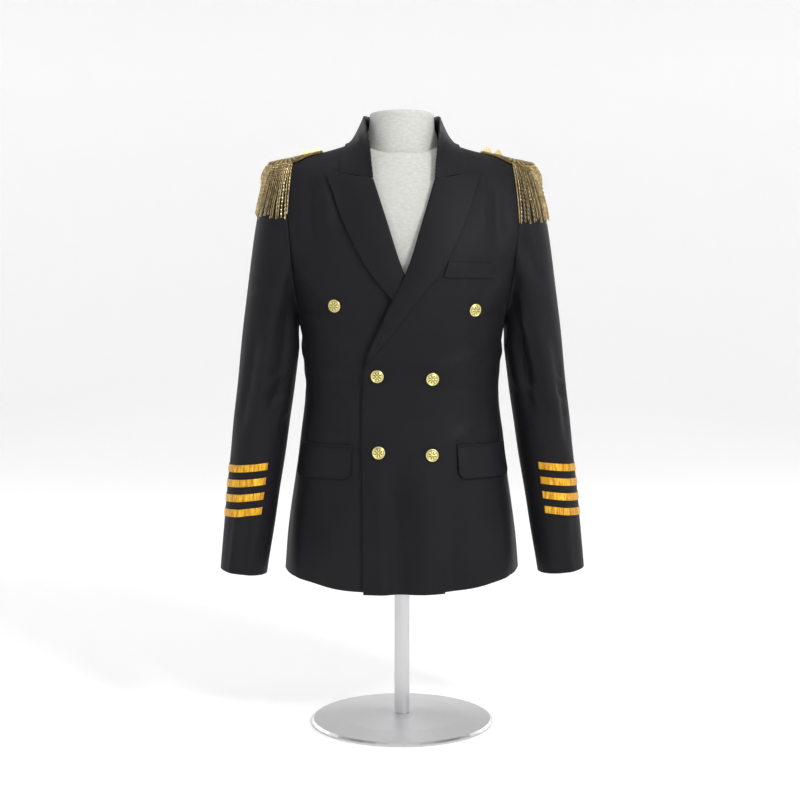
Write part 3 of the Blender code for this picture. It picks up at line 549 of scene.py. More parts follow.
def side_grid():
    u, v = ticks(SIDE_COLUMNS), ticks(SIDE_ROWS)
    front = side_seam(ARM_SEAMS[0], FRONT_TURN, v)
    back = side_seam(ARM_SEAMS[1], BACK_TURN, v)
    hem = on_body(path((front[0], body_point(math.radians(-6.0), 0.021), back[0]), u))
    top = armhole(arm_turn(ARM_SEAMS[0] + (ARM_SEAMS[1] - ARM_SEAMS[0]) * u))
    return on_body(patch(hem, top, front, back, u, v))


def back_grid():
    u, v = ticks(BACK_COLUMNS), ticks(BACK_ROWS)
    side = side_and_armhole(ARM_SEAMS[1], ARM_CELLS, BACK_TURN, v)
    behind = math.radians(-90.0)
    low = [body_point(behind, height) for height in (0.012, 0.12, 0.22, 0.31, 0.40, 0.46)]
    high = lifted(((0.0, 0.122, 0.55), (0.0, 0.107, 0.65)))
    nape = neck_line(0, NECK_SIDE, np.array((0.0,)))[0]
    middle = on_body(path(low + list(high) + [nape], v))
    hem = on_body(path((side[0], body_point(math.radians(-62.0), 0.014), middle[0]), u))
    turn = 4.0 / 7.0
    shoulder, neck = u[u <= turn], u[u > turn]
    top = np.vstack((shoulder_seam(1.0 - shoulder / turn),
                     neck_line(0, NECK_SIDE, (1.0 - neck) / (1.0 - turn))))
    return on_body(patch(hem, top, side, middle, u, v))


def lapel_grid():
    """The lapel from its roll line, in the first column, to its outer edge, in the last."""
    u, v = ticks(LAPEL_COLUMNS), ticks(LAPEL_ROWS)
    heights = np.linspace(BREAK_H, FRONT_EDGE[-1, 0], 60)
    roll = on_body(path(front_guess(along(FRONT_EDGE, 1, heights), heights), v))
    edge = on_body(path(front_guess(LAPEL_EDGE[:, 1], LAPEL_EDGE[:, 0]), v))
    turn = 0.75
    gorge, tip = u[u <= turn], u[u > turn]
    corner = front_guess(*GORGE[-1])
    point = front_guess(*LAPEL_POINT)
    top = np.vstack((path(front_guess(GORGE[:, 0], GORGE[:, 1]), gorge / turn),
                     corner + (point - corner) * ((tip - turn) / (1.0 - turn))[:, None]))
    top = on_body(top)
    top[0], top[-1] = roll[-1], edge[-1]
    low = roll[0] + (edge[0] - roll[0]) * u[:, None]
    return on_body(patch(low, top, roll, edge, u, v))


def collar_grid():
    """One folded sheet: stand inside, rounded fold, leaf outside, from end to end of the neck."""
    v = ticks(COLLAR_COLUMNS)
    seam = neck_line(0, len(NECK_SEAM) - 1, v) + (0.0, 0.0, 0.0016)
    fold = path(lifted(COLLAR[:, :3]), v)
    edge = path(lifted(COLLAR[:, 3:]), v)
    out = unit((edge - fold) * (1.0, 1.0, 0.0))
    up = np.array((0.0, 0.0, 1.0))
    tuck = (1.0 - 0.65 * v)[:, None]
    rows = [seam, seam + 0.55 * (fold - seam) - out * 0.001,
            fold - up * 0.0040 * tuck - out * 0.0012, fold + out * 0.0018 * tuck,
            fold + out * 0.0052 * tuck - up * 0.0028 * tuck]
    outer = rows[-1]
    for part in (0.33, 0.66, 1.0):
        rows.append(outer + part * (edge - outer) + 0.0030 * math.sin(math.pi * part) * out)
    rows = np.stack(rows)
    half = np.stack([path(column, ticks(COLLAR_ROWS)) for column in rows.swapaxes(0, 1)], axis=1)
    half[COLLAR_ROWS // 2:] = off_body(half[COLLAR_ROWS // 2:], LAYER + 0.0004)
    return np.concatenate((mirrored(half)[:, :0:-1], half), axis=1)


def sleeve_ring(angle, height):
    """A point of the sleeve below the armhole; the ring is square to the slanted arm."""
    mid_x = along(SLEEVE, 1, height)
    mid_y = along(SLEEVE, 2, height)
    wide = along(SLEEVE, 3, height) * np.cos(angle)
    deep = along(SLEEVE, 4, height) * np.sin(angle)
    return np.stack(np.broadcast_arrays(mid_x + wide * math.cos(SLEEVE_TILT), mid_y - deep,
                                        HEM_Z + height + wide * math.sin(SLEEVE_TILT)), axis=-1)


def sleeve_points(angles, cap_shares, arm_shares):
    """The sleeve from armhole to cuff: a row for each step down, a column for each angle."""
    seam = armhole(angles)
    normal = body_normals(seam)
    inward = -unit((seam - lifted(ARMHOLE_MID)) * (0.0, 1.0, 1.0))
    start = seam + inward * 0.0004 + normal * 0.0004 + np.array((0.0010, 0.0, 0.0))
    top = SLEEVE[-1, 0]
    ring = sleeve_ring(angles, top)
    reach = np.linalg.norm(ring - start, axis=-1, keepdims=True)
    leave = reach * (HEAD_FULLNESS * np.array((1.0, 0.0, 0.0)) + 0.10 * normal)
    arrive = reach * np.array((math.sin(SLEEVE_TILT), 0.0, -math.cos(SLEEVE_TILT)))
    t = np.asarray(cap_shares)[:, None, None]
    rise = t * t * (3.0 - 2.0 * t)
    bend = t * (t - 1.0)
    cap = start * (1.0 - rise) + ring * rise + bend * ((t - 1.0) * leave + t * arrive)
    heights = top + (SLEEVE[0, 0] - top) * np.asarray(arm_shares)
    arm = [sleeve_ring(angles, height) for height in heights]
    return np.concatenate((cap, np.array(arm).reshape(-1, len(angles), 3)))


def grid_normals(grid, closed=False):
    """Normals of a grid from its rows and columns; closed joins its last column to its first."""
    wide = np.concatenate((grid[:, -2:-1], grid, grid[:, 1:2]), axis=1) if closed else grid
    across = np.gradient(wide, axis=1)
    across = across[:, 1:-1] if closed else across
    return unit(np.cross(across, np.gradient(grid, axis=0)))


# ---------------------------------------------------------------- making meshes
def grid_mesh(grid):
    """A bmesh sheet whose points are the grid's."""
    rows, columns = grid.shape[:2]
    bm = bmesh.new()
    bmesh.ops.create_grid(bm, x_segments=columns - 1, y_segments=rows - 1, size=1.0)
    for vertex, point in zip(bm.verts, grid.reshape(-1, 3)):
        vertex.co = point
    return bm


def edge_distance(grid):
    """How far each point of a grid is from the nearest of its four edges."""
    near = []
    for axis in (0, 1):
        gone = gone_along(grid, axis)
        near += [gone, gone.take([-1], axis) - gone]
    return np.minimum.reduce(near)


def turned_edge(grid, radius):
    """How far the skin of a piece drops towards its edges, so that they are round."""
    inside = np.clip(edge_distance(grid) / radius, 0.0, 1.0)
    return radius * (1.0 - np.sqrt(1.0 - (1.0 - inside) ** 2))


def set_uv(bm, across, up):
    """Lays the cloth's own coordinates, in metres, on a mesh of whole grids of the same shape."""
    layer = bm.loops.layers.uv.new("cloth")
    places = np.stack((across, up), axis=-1).reshape(-1, 2)
    for face in bm.faces:
        for loop in face.loops:
            loop[layer].uv = places[loop.vert.index % len(places)]


def closed(bm, merged=MERGED):
    """Closes seams and poles, and turns the faces outwards."""
    bmesh.ops.remove_doubles(bm, verts=bm.verts, dist=merged)
    bmesh.ops.recalc_face_normals(bm, faces=bm.faces)


def spun(profile, steps):
    """A closed shape from a profile of distances out and heights, turned about the upright axis."""
    bm = bmesh.new()
    points = [bm.verts.new((out, 0.0, up)) for out, up in profile]
    edges = [bm.edges.new(pair) for pair in zip(points, points[1:])]
    bmesh.ops.spin(bm, geom=points + edges, cent=(0.0, 0.0, 0.0), axis=(0.0, 0.0, 1.0),
                   angle=2.0 * math.pi, steps=steps, use_merge=True)
    closed(bm)
    return bm


def as_mesh(name, bm):
    mesh = bpy.data.meshes.new(name)
    bm.to_mesh(mesh)
    bm.free()
    return mesh


def into_scene(name, data):
    thing = bpy.data.objects.new(name, data)
    bpy.context.scene.collection.objects.link(thing)
    return thing


def place(node, finish, bm, look):
    """Shows a piece in place of the part's node that it is named for."""
    mesh = as_mesh(f"{node}_{finish}", bm)
    mesh.materials.append(look)
    mesh.shade_smooth()
    mesh.set_sharp_from_angle(angle=CREASE)
    thing = into_scene(f"{node}_{finish}", mesh)
    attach(thing, "root")
    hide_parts(node)
    return thing


def wall_of(node, finish, grid, normals, look, wall, skin=0.0):
    """A wall with round edges: an outer and an inner skin, joined round their edges.

    skin is a small relief of the outer side alone.
    """
    drop = turned_edge(grid, min(TURNED_EDGE, 0.62 * wall))[..., None]
    outer = grid + normals * (0.5 * wall - 0.8 * drop + np.asarray(skin)[..., None])
    inner = grid - normals * (0.5 * wall - 0.45 * drop)
    bm = grid_mesh(outer)
    rows, columns = grid.shape[:2]
    bmesh.ops.create_grid(bm, x_segments=columns - 1, y_segments=rows - 1, size=1.0)
    for vertex, point in zip(list(bm.verts)[rows * columns:], inner.reshape(-1, 3)):
        vertex.co = point
    bmesh.ops.bridge_loops(bm, edges=[edge for edge in bm.edges if edge.is_boundary])
    bmesh.ops.recalc_face_normals(bm, faces=bm.faces)
    bm.verts.index_update()
    set_uv(bm, gone_along(grid, 1), gone_along(grid, 0))
    return place(node, finish, bm, look)


def cut_size(grid):
    """Flat width, length and area of a piece's cut, from the lengths of its rows and columns."""
    wide = gone_along(grid, 1)[:, -1].max()
    long = gone_along(grid, 0)[-1].max()
    a, b, c, d = grid[:-1, :-1], grid[1:, :-1], grid[1:, 1:], grid[:-1, 1:]
    area = (np.linalg.norm(np.cross(b - a, c - a), axis=-1).sum()
            + np.linalg.norm(np.cross(c - a, d - a), axis=-1).sum()) * 0.5
    return (float(wide), float(long)), float(min(area, wide * long))


def cloth(node, grid, normals, look, skin=0.0,
          finish="cloth", wall=WALL):
    """A piece of cloth; the flat size and area of its cut are worked out and not used further."""
    thing = wall_of(node, finish, grid, normals, look, wall, skin)
    flat, area = cut_size(grid)


# ---------------------------------------------------------------- cloth of the body
def body_piece(node, grid, lift, look, skin=0.0):
    """A cloth piece on the body's surface, raised by the lift at each point."""
    grid = drawn_in(on_body(grid, lift))
    cloth(node, grid, body_normals(grid), look, skin)


def dart_line(points):
    x, height = points[..., 0], height_of(points)
    return sum(rise * np.exp(-((x - (x0 + (x1 - x0) * (height - h0) / (h1 - h0))) / half) ** 2)
               * ease(-height, -h0, -h0 + 0.02) * ease(height, h1 - 0.005, h1 + 0.02)
               for x0, h0, x1, h1, half, rise in DARTS)


def under_edge(points):
    """The wearer's right front sinks a little along the edge that laps over it."""
    height = height_of(points)
    past = along(FRONT_EDGE, 1, height) - points[..., 0]
    return -0.0032 * np.exp(-((past - 0.002) / 0.0085) ** 2) * (1.0 - ease(height, 0.48, 0.52))


def rolled_down(grid):
    """Front edge and hem turn in softly."""
    return (-0.0013 * (1.0 - ease(gone_along(grid, 1), 0.0, 0.008))
            - 0.0010 * (1.0 - ease(gone_along(grid, 0), 0.0, 0.010)))


def build_body(look):
    front, side, back = front_grid(), side_grid(), back_grid()
    pieces = {"front_left": front, "front_right": mirrored(front),
              "side_left": side, "side_right": mirrored(side),
              "back_left": back, "back_right": mirrored(back)}
    for node, grid in pieces.items():
        lift, skin = body_folds(grid), 0.0
        if node.startswith("front"):
            skin = dart_line(grid)
            lap = overlap_lift if node == "front_left" else under_edge
            lift = lift + rolled_down(grid) + lap(grid)
        body_piece(node, grid, lift, look, skin=skin)


def rolled(grid, lift):
    """Adds the turn of cloth that runs from under the roll line out and over onto the lapel."""
    base = on_body(grid)
    normal = body_normals(base)
    outward = unit(base[:, 0] - base[:, 3])
    fade = ease(np.arange(len(grid)) / len(grid), 0.0, 0.10)[:, None]
    column = []
    for turn in np.radians((20.0, 50.0, 80.0, 110.0, 140.0, 165.0)):
        rise = 0.5 * LAYER * (1.0 - math.cos(turn)) + lift[:, :1]
        column.append(base[:, 0] + outward * (ROLL_R * math.sin(turn) * fade) + normal[:, 0] * rise)
    return np.stack(column, axis=1)


def build_lapels(look):
    grid = lapel_grid()
    share = np.linspace(0.0, 1.0, grid.shape[1])[None]
    height = height_of(grid)
    belly = 0.0030 * np.sin(math.pi * share) ** 1.3 * ease(height, BREAK_H, 0.45)
    belly = belly + 0.0030 * share ** 3 * ease(height, 0.39, 0.46)
    for side, points, over in (("right", mirrored(grid), 0.0), ("left", grid, overlap_lift(grid))):
        lift = body_folds(points) + over
        face = on_body(points, lift + LAYER + belly)
        whole = np.concatenate((rolled(points, lift), face[:, 2:]), axis=1)
        normals = grid_normals(whole)
        outward = np.sign((normals * body_normals(whole)).sum(axis=-1).mean())
        cloth(f"lapel_{side}", drawn_in(whole), normals * outward, look)


def build_collar(look):
    grid = collar_grid()
    grid = grid + grid_normals(grid) * ripple(grid, 0.8)[..., None]
    cloth("collar", grid, grid_normals(grid), look)


# ---------------------------------------------------------------- sleeves
def sleeve_tube():
    first, seam, last = ARM_SEAMS[1] - ARM_CELLS, ARM_SEAMS[0], ARM_SEAMS[1]
    upper = first + (seam - first) * ticks(UPPER_COLUMNS)
    under = seam + (last - seam) * ticks(UNDER_COLUMNS)
    steps = np.concatenate((upper, under[1:]))
    cap = ticks(CAP_ROWS)
    arm = ticks(ARM_ROWS)[1:]
    return arm_turn(steps), sleeve_points(arm_turn(steps), cap, arm), len(upper)


def sleeve_folds(points, across, table):
    """Folds of a sleeve; across is how far round from the outer side each point is."""
    metres = [(ARM_R * math.radians(a), h0, ARM_R * math.radians(b), h1, half, rise)
              for a, h0, b, h1, half, rise in table]
    return folds(metres, across, height_of(points)) + ripple(points)


def sleeve_relief(tube, angles, table):
    """Folds of a sleeve, and the fullness eased into its head."""
    across = ARM_R * np.where(angles > math.radians(200.0), angles - 2.0 * math.pi, angles)[None, :]
    rows = np.arange(len(tube))[:, None] / CAP_ROWS
    roll = 0.0018 * np.exp(-((rows - 0.09) / 0.055) ** 2) * (0.60 + 0.40 * np.cos(angles))[None, :]
    return sleeve_folds(tube, across, table) * ease(rows, 0.04, 0.22) + roll


def build_sleeves(look):
    angles, tube, cut = sleeve_tube()
    base = grid_normals(tube, closed=True)
    for side, turn in SIDES.items():
        whole = tube + base * sleeve_relief(tube, angles, ARM_FOLDS[side])[..., None]
        normals = grid_normals(whole, closed=True)
        for name, part in (("upper_sleeve", slice(0, cut)), ("under_sleeve", slice(cut - 1, None))):
            cloth(f"{name}_{side}", drawn_in(whole[:, part]) * turn, normals[:, part] * turn, look)


def stripe_points(number, angles, edge):
    """Middle surface of a braid band, and the way out of the sleeve."""
    middle = STRIPE_LOW + STRIPE_PITCH * (number - 1)
    slanted = middle - STRIPE_SLANT * np.cos(angles)
    grid = np.stack([sleeve_ring(angles, slanted + side * 0.5 * STRIPE_WIDE) for side in edge])
    centre = sleeve_ring(np.array((0.0, math.pi)), middle).mean(axis=0)
    return grid, unit((grid - centre) * (1.0, 1.0, 0.0))


def build_stripes(look):
    angles = arm_turn(STRIPE_REACH * (2.0 * ticks(70) - 1.0))
    edge = np.array((1.0, 0.93, 0.8, 0.5, 0.0, -0.5, -0.8, -0.93, -1.0))
    for side, turn in SIDES.items():
        for number in range(1, STRIPE_COUNT + 1):
            grid, out = stripe_points(number, angles, edge)
            lift = sleeve_folds(grid, ARM_R * angles[None, :], ARM_FOLDS[side])
            lift = lift + 0.5 * WALL + 0.0004 + 0.5 * STRIPE_WALL
            band = grid + out * lift[..., None]
            cloth(f"stripe_{side}_{number}", band * turn, out * turn, look,
                  finish="braid",
                  wall=STRIPE_WALL)


# ---------------------------------------------------------------- pockets
def build_welt(look):
    corners = [on_body(front_guess(x, height)) for x, height in WELT]
    u, v = ticks(34), ticks(12)
    low = corners[0] + (corners[1] - corners[0]) * u[:, None]
    high = corners[2] + (corners[3] - corners[2]) * u[:, None]
    start = corners[0] + (corners[2] - corners[0]) * v[:, None]
    end = corners[1] + (corners[3] - corners[1]) * v[:, None]
    grid = on_body(patch(low, high, start, end, u, v))
    body_piece("chest_welt", grid, body_folds(grid) + overlap_lift(grid) + LAYER, look)


def flap_grid():
    """The flap with round lower corners, and the piped edge above it: grid and its rise."""
    u = ticks(40)
    angles = FLAP_ANGLES[0] + (FLAP_ANGLES[1] - FLAP_ANGLES[0]) * u
    wide = 0.15 * abs(FLAP_ANGLES[0] - FLAP_ANGLES[1])
    corner = np.clip(FLAP_ROUND - np.minimum(u, 1.0 - u) * wide, 0.0, None)
    short = FLAP_ROUND - np.sqrt(np.clip(FLAP_ROUND ** 2 - corner ** 2, 0.0, None))
    low = FLAP_TOP - FLAP_DROP + short
    drops = low[None, :] + (FLAP_TOP - low)[None, :] * ticks(22)[:, None]
    grid = body_point(angles[None, :], drops)
    above = np.array((0.0006, 0.0012, 0.0020, 0.0034, 0.0046, 0.0052)) * JET_WIDE / 0.0052
    piping = body_point(angles[None, :], FLAP_TOP + above[:, None])
    rise = np.concatenate((np.zeros(len(grid)), (-0.0009, -0.0007, 0.0, 0.0002, -0.0002, -0.0008)))
    rise[len(grid) - 2:len(grid)] = -0.0006
    return np.concatenate((grid, piping)), rise[:, None]


def build_flaps(look):
    grid, rise = flap_grid()
    rise = rise + 0.0026 * np.linspace(1.0, 0.0, len(grid))[:, None] ** 2
    for side, points, over in (("right", mirrored(grid), 0.0), ("left", grid, overlap_lift(grid))):
        free = LAYER + 0.0006 + rise
        body_piece(f"pocket_flap_{side}", points, body_folds(points) + over + free, look)


# ---------------------------------------------------------------- buttons
BUTTON_R = 0.0102
# columns: share of the radius, height, on a button's section from its top down to its shank
BUTTON_SECTION = (
    (0.0, 0.00480), (0.08, 0.00480), (0.16, 0.00478), (0.24, 0.00474), (0.32, 0.00468),
    (0.40, 0.00460), (0.48, 0.00448), (0.56, 0.00432), (0.63, 0.00414), (0.70, 0.00390),
    (0.745, 0.00352),
    (0.775, 0.00330), (0.80, 0.00340), (0.83, 0.00368), (0.865, 0.00380), (0.90, 0.00372),
    (0.94, 0.00350), (0.975, 0.00310), (1.0, 0.00265), (0.985, 0.00220), (0.94, 0.00180),
    (0.36, 0.00140), (0.30, 0.0), (0.0, 0.0),
)
BUTTON_STEPS = 80


def button_relief(share, turn):
    """A plain eight-petal rosette inside a roped rim."""
    petal = np.cos(8.0 * turn) * ease(share, 0.12, 0.30) * (1.0 - ease(share, 0.56, 0.68))
    heart = 1.0 - ease(share, 0.10, 0.20)
    leaf = 0.5 + 0.5 * np.cos(8.0 * turn)
    vein = (-np.exp(-(np.sin(4.0 * turn) / 0.10) ** 2)
            * ease(share, 0.2, 0.3) * (1.0 - ease(share, 0.5, 0.6)))
    rope = np.cos(40.0 * turn + 30.0 * share) * np.exp(-((share - 0.875) / 0.055) ** 2)
    dots = np.cos(32.0 * turn) * np.exp(-((share - 0.70) / 0.035) ** 2)
    return (0.00016 * petal + 0.00026 * heart + 0.00008 * leaf * (share < 0.66) + 0.00012 * vein
            + 0.00009 * rope + 0.00007 * dots)


def button_painted_shade(share, turn):
    """How deep in a hollow of the relief a point lies, and so how much painted shade darkens the
    gilt there.
    """
    petal = 0.5 - 0.5 * np.cos(8.0 * turn)
    heart = np.exp(-((share - 0.19) / 0.05) ** 2)
    flower = petal * ease(share, 0.16, 0.26) * (1.0 - ease(share, 0.60, 0.70))
    channel = np.exp(-((share - 0.765) / 0.035) ** 2)
    return min(1.0, 0.75 * heart + 0.85 * flower + 0.9 * channel)


def build_button(name, look):
    """A gilt button where the part has it, its face along the cloth's normal."""
    bm = spun([(share * BUTTON_R, height) for share, height in BUTTON_SECTION], BUTTON_STEPS)
    # painted shade: each raised point keeps how deep in a hollow it lies, and the gilt is darkened
    # there
    shade = bm.verts.layers.float.new("shade")
    for vertex in bm.verts:
        share = math.hypot(vertex.co.x, vertex.co.y) / BUTTON_R
        if vertex.co.z > 0.0026:
            turn = math.atan2(vertex.co.y, vertex.co.x)
            vertex.co.z += float(button_relief(share, turn))
            vertex[shade] = float(button_painted_shade(share, turn))
    corners = np.array([vertex.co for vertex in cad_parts[name].data.vertices])
    low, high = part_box(name)
    middle = 0.5 * (np.array(low) + np.array(high))
    normal = Vector(body_normals(on_body(middle)))
    reach = corners @ np.array(normal)
    turn = normal.to_track_quat("Z", "Y").to_matrix()
    foot = Vector(middle) - normal * (float(np.dot(middle, normal)) - float(reach.min()))
    bmesh.ops.transform(bm, matrix=Matrix.Translation(foot) @ turn.to_4x4(), verts=bm.verts)
    place(name, "gilt", bm, look)


def build_buttons(look):
    for row in ("chest", "waist", "hip"):
        for side in ("left", "right"):
            build_button(f"button_{row}_{side}", look)


# ---------------------------------------------------------------- dress form
# columns: height, half width, half depth, up the form's neck and over its rounded top
NECK = (
    (0.735, 0.0535, 0.0570), (0.741, 0.0528, 0.0560), (0.746, 0.0523, 0.0553),
    (0.751, 0.0521, 0.0548), (0.7555, 0.0520, 0.0545), (0.7580, 0.0516, 0.0541),
    (0.7598, 0.0507, 0.0532), (0.7609, 0.0494, 0.0519), (0.7614, 0.0478, 0.0503),
    (0.7615, 0.0440, 0.0465), (0.7615, 0.0220, 0.0240), (0.7615, 0.0020, 0.0022),
)


def form_rings():
    """Torso, shoulders and neck of the form, inside the cloth all round."""
    turn = np.linspace(0.0, 2.0 * math.pi, 113)[:-1]
    rings = []
    for height in np.concatenate((np.linspace(FORM_LOW, 0.43, 20), np.linspace(0.44, 0.60, 9))):
        rings.append(on_body(body_point(turn, height), -FORM_CLEAR))
        rings[-1][:, 2] = HEM_Z + height
    chest = body_point(turn, 0.60)
    tilt = np.sin(turn)
    base = np.stack((0.060 * np.cos(turn), NECK_MID_Y - 0.063 * tilt,
                     HEM_Z + 0.713 - 0.018 * tilt - 0.005 * tilt ** 2), axis=-1)
    for step in np.linspace(0.0, 1.0, 15)[1:]:
        guess = chest + (base - chest) * step
        guess[:, 2] += 0.060 * math.sin(math.pi * step ** 0.7)
        near = (FORM_CLEAR - FORM_REST) * ease(guess[:, 2] - HEM_Z, 0.64, 0.70)
        skin = on_body(guess, near - FORM_CLEAR)
        rings.append(skin + (base - skin) * float(ease(step, 0.45, 1.0)))
    for ring in rings:
        past = np.abs(ring[:, 0]) - (FORM_SIDE - FORM_SOFT)
        clipped = FORM_SIDE - FORM_SOFT + FORM_SOFT * np.tanh(np.maximum(past, 0.0) / FORM_SOFT)
        ring[:, 0] = np.sign(ring[:, 0]) * np.where(past > 0.0, clipped, np.abs(ring[:, 0]))
    for height, wide, deep in NECK:
        rings.append(np.stack((wide * np.cos(turn), NECK_MID_Y - deep * np.sin(turn),
                               np.full(len(turn), HEM_Z + height)), axis=-1))
    return np.stack(rings)


def build_form(look):
    rings = form_rings()
    bm = grid_mesh(np.concatenate((rings, rings[:, :1]), axis=1))
    bmesh.ops.remove_doubles(bm, verts=bm.verts, dist=MERGED)
    bmesh.ops.holes_fill(bm, edges=[edge for edge in bm.edges if edge.is_boundary], sides=0)
    bmesh.ops.recalc_face_normals(bm, faces=bm.faces)
    place("form_torso", "linen", bm, look)


# ---------------------------------------------------------------- shoulder ornament
def board_half(x):
    """Half width of the epaulette: a strap that widens into a round end."""
    spread = ease(x, BOARD_IN + 0.012, BOARD_MID - 0.012)
    half = STRAP_HALF + (BOARD_HALF - STRAP_HALF) * spread
    past = np.clip((x - BOARD_MID) / (BOARD_OUT - BOARD_MID), 0.0, 0.985)
    return half * np.sqrt(1.0 - past ** 2)


def board_relief(x, aside, share):
    """Beaded border, a sunburst on the round end and chevrons down the strap."""
    half = board_half(x)
    edge = (1.0 - np.abs(share)) * half
    gone = np.cumsum(np.hypot(np.gradient(x[:, -1]), np.gradient(half[:, -1])))[:, None]
    bead = (0.00042 * np.exp(-((edge - 0.0019) / 0.0011) ** 2)
            * (0.55 + 0.45 * np.cos(gone / 0.00042)))
    turn = np.arctan2(aside, x - BOARD_MID + 0.004)
    from_middle = np.hypot(aside, x - BOARD_MID + 0.004)
    within = ease(edge, 0.0035, 0.0055)
    rays = np.abs(np.sin(11.0 * turn)) * ease(from_middle, 0.006, 0.013) * within
    on_end = ease(x, BOARD_MID - 0.018, BOARD_MID - 0.008)
    wave = np.abs(((x - 1.1 * np.abs(aside)) / 0.0058) % 1.0 - 0.5) * 2.0
    chevron = wave * within
    hub = np.exp(-(from_middle / 0.0055) ** 2)
    return (bead + 0.00062 * on_end * rays + 0.00048 * (1.0 - on_end) * chevron
            + 0.0008 * hub * on_end)


def board_grid():
    turns = np.linspace(0.0, 0.5 * math.pi, 46)[1:]
    stations = np.concatenate((BOARD_IN + (BOARD_MID - BOARD_IN) * ticks(84)[:-3],
                               BOARD_MID + (BOARD_OUT - BOARD_MID) * np.sin(turns)))
    share = np.concatenate((-1.0 + 0.012 * np.array((0.0, 0.25, 0.6)), np.linspace(-0.98, 0.98, 62),
                            1.0 - 0.012 * np.array((0.6, 0.25, 0.0))))
    x = np.broadcast_to(stations[:, None], (len(stations), len(share)))
    aside = share[None, :] * board_half(stations)[:, None]
    z = HEM_Z + ridge_height(x) - 6.0 * aside ** 2
    relief = board_relief(x, aside, share[None, :])
    return on_body(np.stack((x, RIDGE_Y + aside, z), axis=-1), BOARD_LIFT), relief


def build_boards(look):
    grid, relief = board_grid()
    normals = body_normals(grid)
    # painted shade: the lower the relief, the darker the gilt of the board's face
    low = 1.0 - (relief / relief.max()).ravel()
    for side, turn in SIDES.items():
        thing = wall_of(f"epaulette_board_{side}", "gilt", grid * turn, normals * turn, look,
                        BOARD_WALL, relief)
        shade = thing.data.attributes.new("shade", "FLOAT", "POINT")
        shade.data.foreach_set("value", np.concatenate((low, np.zeros(len(low)))))


def sleeve_outline(height):
    """The sleeve head's outline at one height, as turns and distances about the board's middle."""
    angles = np.radians(np.linspace(-110.0, 110.0, 89))
    rows = sleeve_points(angles, np.linspace(0.0, 1.0, 25), np.zeros(0))
    plan = []
    for line in rows[::-1].swapaxes(0, 1):
        if line[-1, 2] > height:
            plan.append([np.interp(height, line[:, 2], line[:, axis]) for axis in (0, 1)])
    if len(plan) < 3:
        return np.array((0.0, 1.0)), np.zeros(2)
    plan = np.array(plan) - (BOARD_MID, RIDGE_Y)
    turn = np.arctan2(-plan[:, 1], plan[:, 0])
    order = np.argsort(turn)
    return turn[order], np.hypot(*plan[order].T)


def reach_over(origin, ray, height):
    """How far out from a point of the rim the jacket and its sleeve reach at one height."""
    far = np.linspace(0.0, 0.09, 91)
    points = np.full((len(far), 3), height)
    points[:, :2] = origin + far[:, None] * ray
    limit = along(BODY, HALF_WIDTH, points[:, 2] - HEM_Z)
    in_body = (body_field(points) < 0.0) & (points[:, 0] < limit)
    plan = points[:, :2] - (BOARD_MID, RIDGE_Y)
    turns, radii = sleeve_outline(height)
    around = np.interp(np.arctan2(-plan[:, 1], plan[:, 0]), turns, radii, left=0.0, right=0.0)
    in_sleeve = np.hypot(*plan.T) < around
    return np.where(in_body | in_sleeve, far, -1.0).max()


def fringe_grid():
    """The curtain that the fringe fills, from the board's rim down over the sleeve head."""
    fan = np.linspace(-FRINGE_FAN, FRINGE_FAN, FRINGE_CELLS + 1)
    wide, deep = BOARD_OUT - BOARD_MID, BOARD_HALF
    rim = wide * deep / np.hypot(deep * np.cos(fan), wide * np.sin(fan))
    rim += 0.5 * FRINGE_WALL + 0.0009
    origin = np.stack((BOARD_MID + rim * np.cos(fan), RIDGE_Y - rim * np.sin(fan)), axis=-1)
    ray = np.stack((np.cos(FRINGE_FALL * fan), -np.sin(FRINGE_FALL * fan)), axis=-1)
    top = np.column_stack((origin, HEM_Z + ridge_height(origin[:, 0])))
    top = on_body(top, BOARD_LIFT)[:, 2]
    out = np.zeros(len(fan))
    rows = []
    for step in np.linspace(0.0, 1.0, 6):
        height = top + (HEM_Z + FRINGE_LOW - top) * step
        reach = np.array([reach_over(*rim_point) for rim_point in zip(origin, ray, height)])
        padded = np.pad(reach, 1, mode="edge")
        widest = np.maximum(np.maximum(padded[:-2], padded[2:]), reach)
        out = np.maximum(out, widest + 0.5 * (WALL + FRINGE_WALL) + FRINGE_CLEAR)
        out = np.maximum(out, FRINGE_BULGE) if step > 0.0 else np.zeros(len(fan))
        rows.append(np.column_stack((origin + out[:, None] * ray, height)))
    return np.stack(rows)


def read_grid(grid, up, across):
    """Points of a coarse grid at shares of its rows and columns."""
    rows = np.linspace(0.0, 1.0, grid.shape[0])
    columns = np.linspace(0.0, 1.0, grid.shape[1])
    return read_line(up, rows, np.array([read_line(across, columns, row) for row in grid]))


def link_mesh():
    """One oval link of the chain, lying in the xz plane."""
    turns = np.linspace(0.0, 2.0 * math.pi, 7)
    sides = np.linspace(0.0, 2.0 * math.pi, 4)
    middle = np.stack((LINK_WIDE * np.sin(turns), 0.0 * turns, LINK_LONG * np.cos(turns)), axis=-1)
    out = np.stack((np.sin(turns), 0.0 * turns, np.cos(turns)), axis=-1)
    around = (np.cos(sides)[None, :, None] * out[:, None]
              + np.sin(sides)[None, :, None] * np.array((0.0, 1.0, 0.0)))
    grid = middle[:, None] + LINK_WIRE * around
    bm = grid_mesh(grid)
    closed(bm, 0.1 * MERGED)
    return as_mesh("fringe_link", bm)


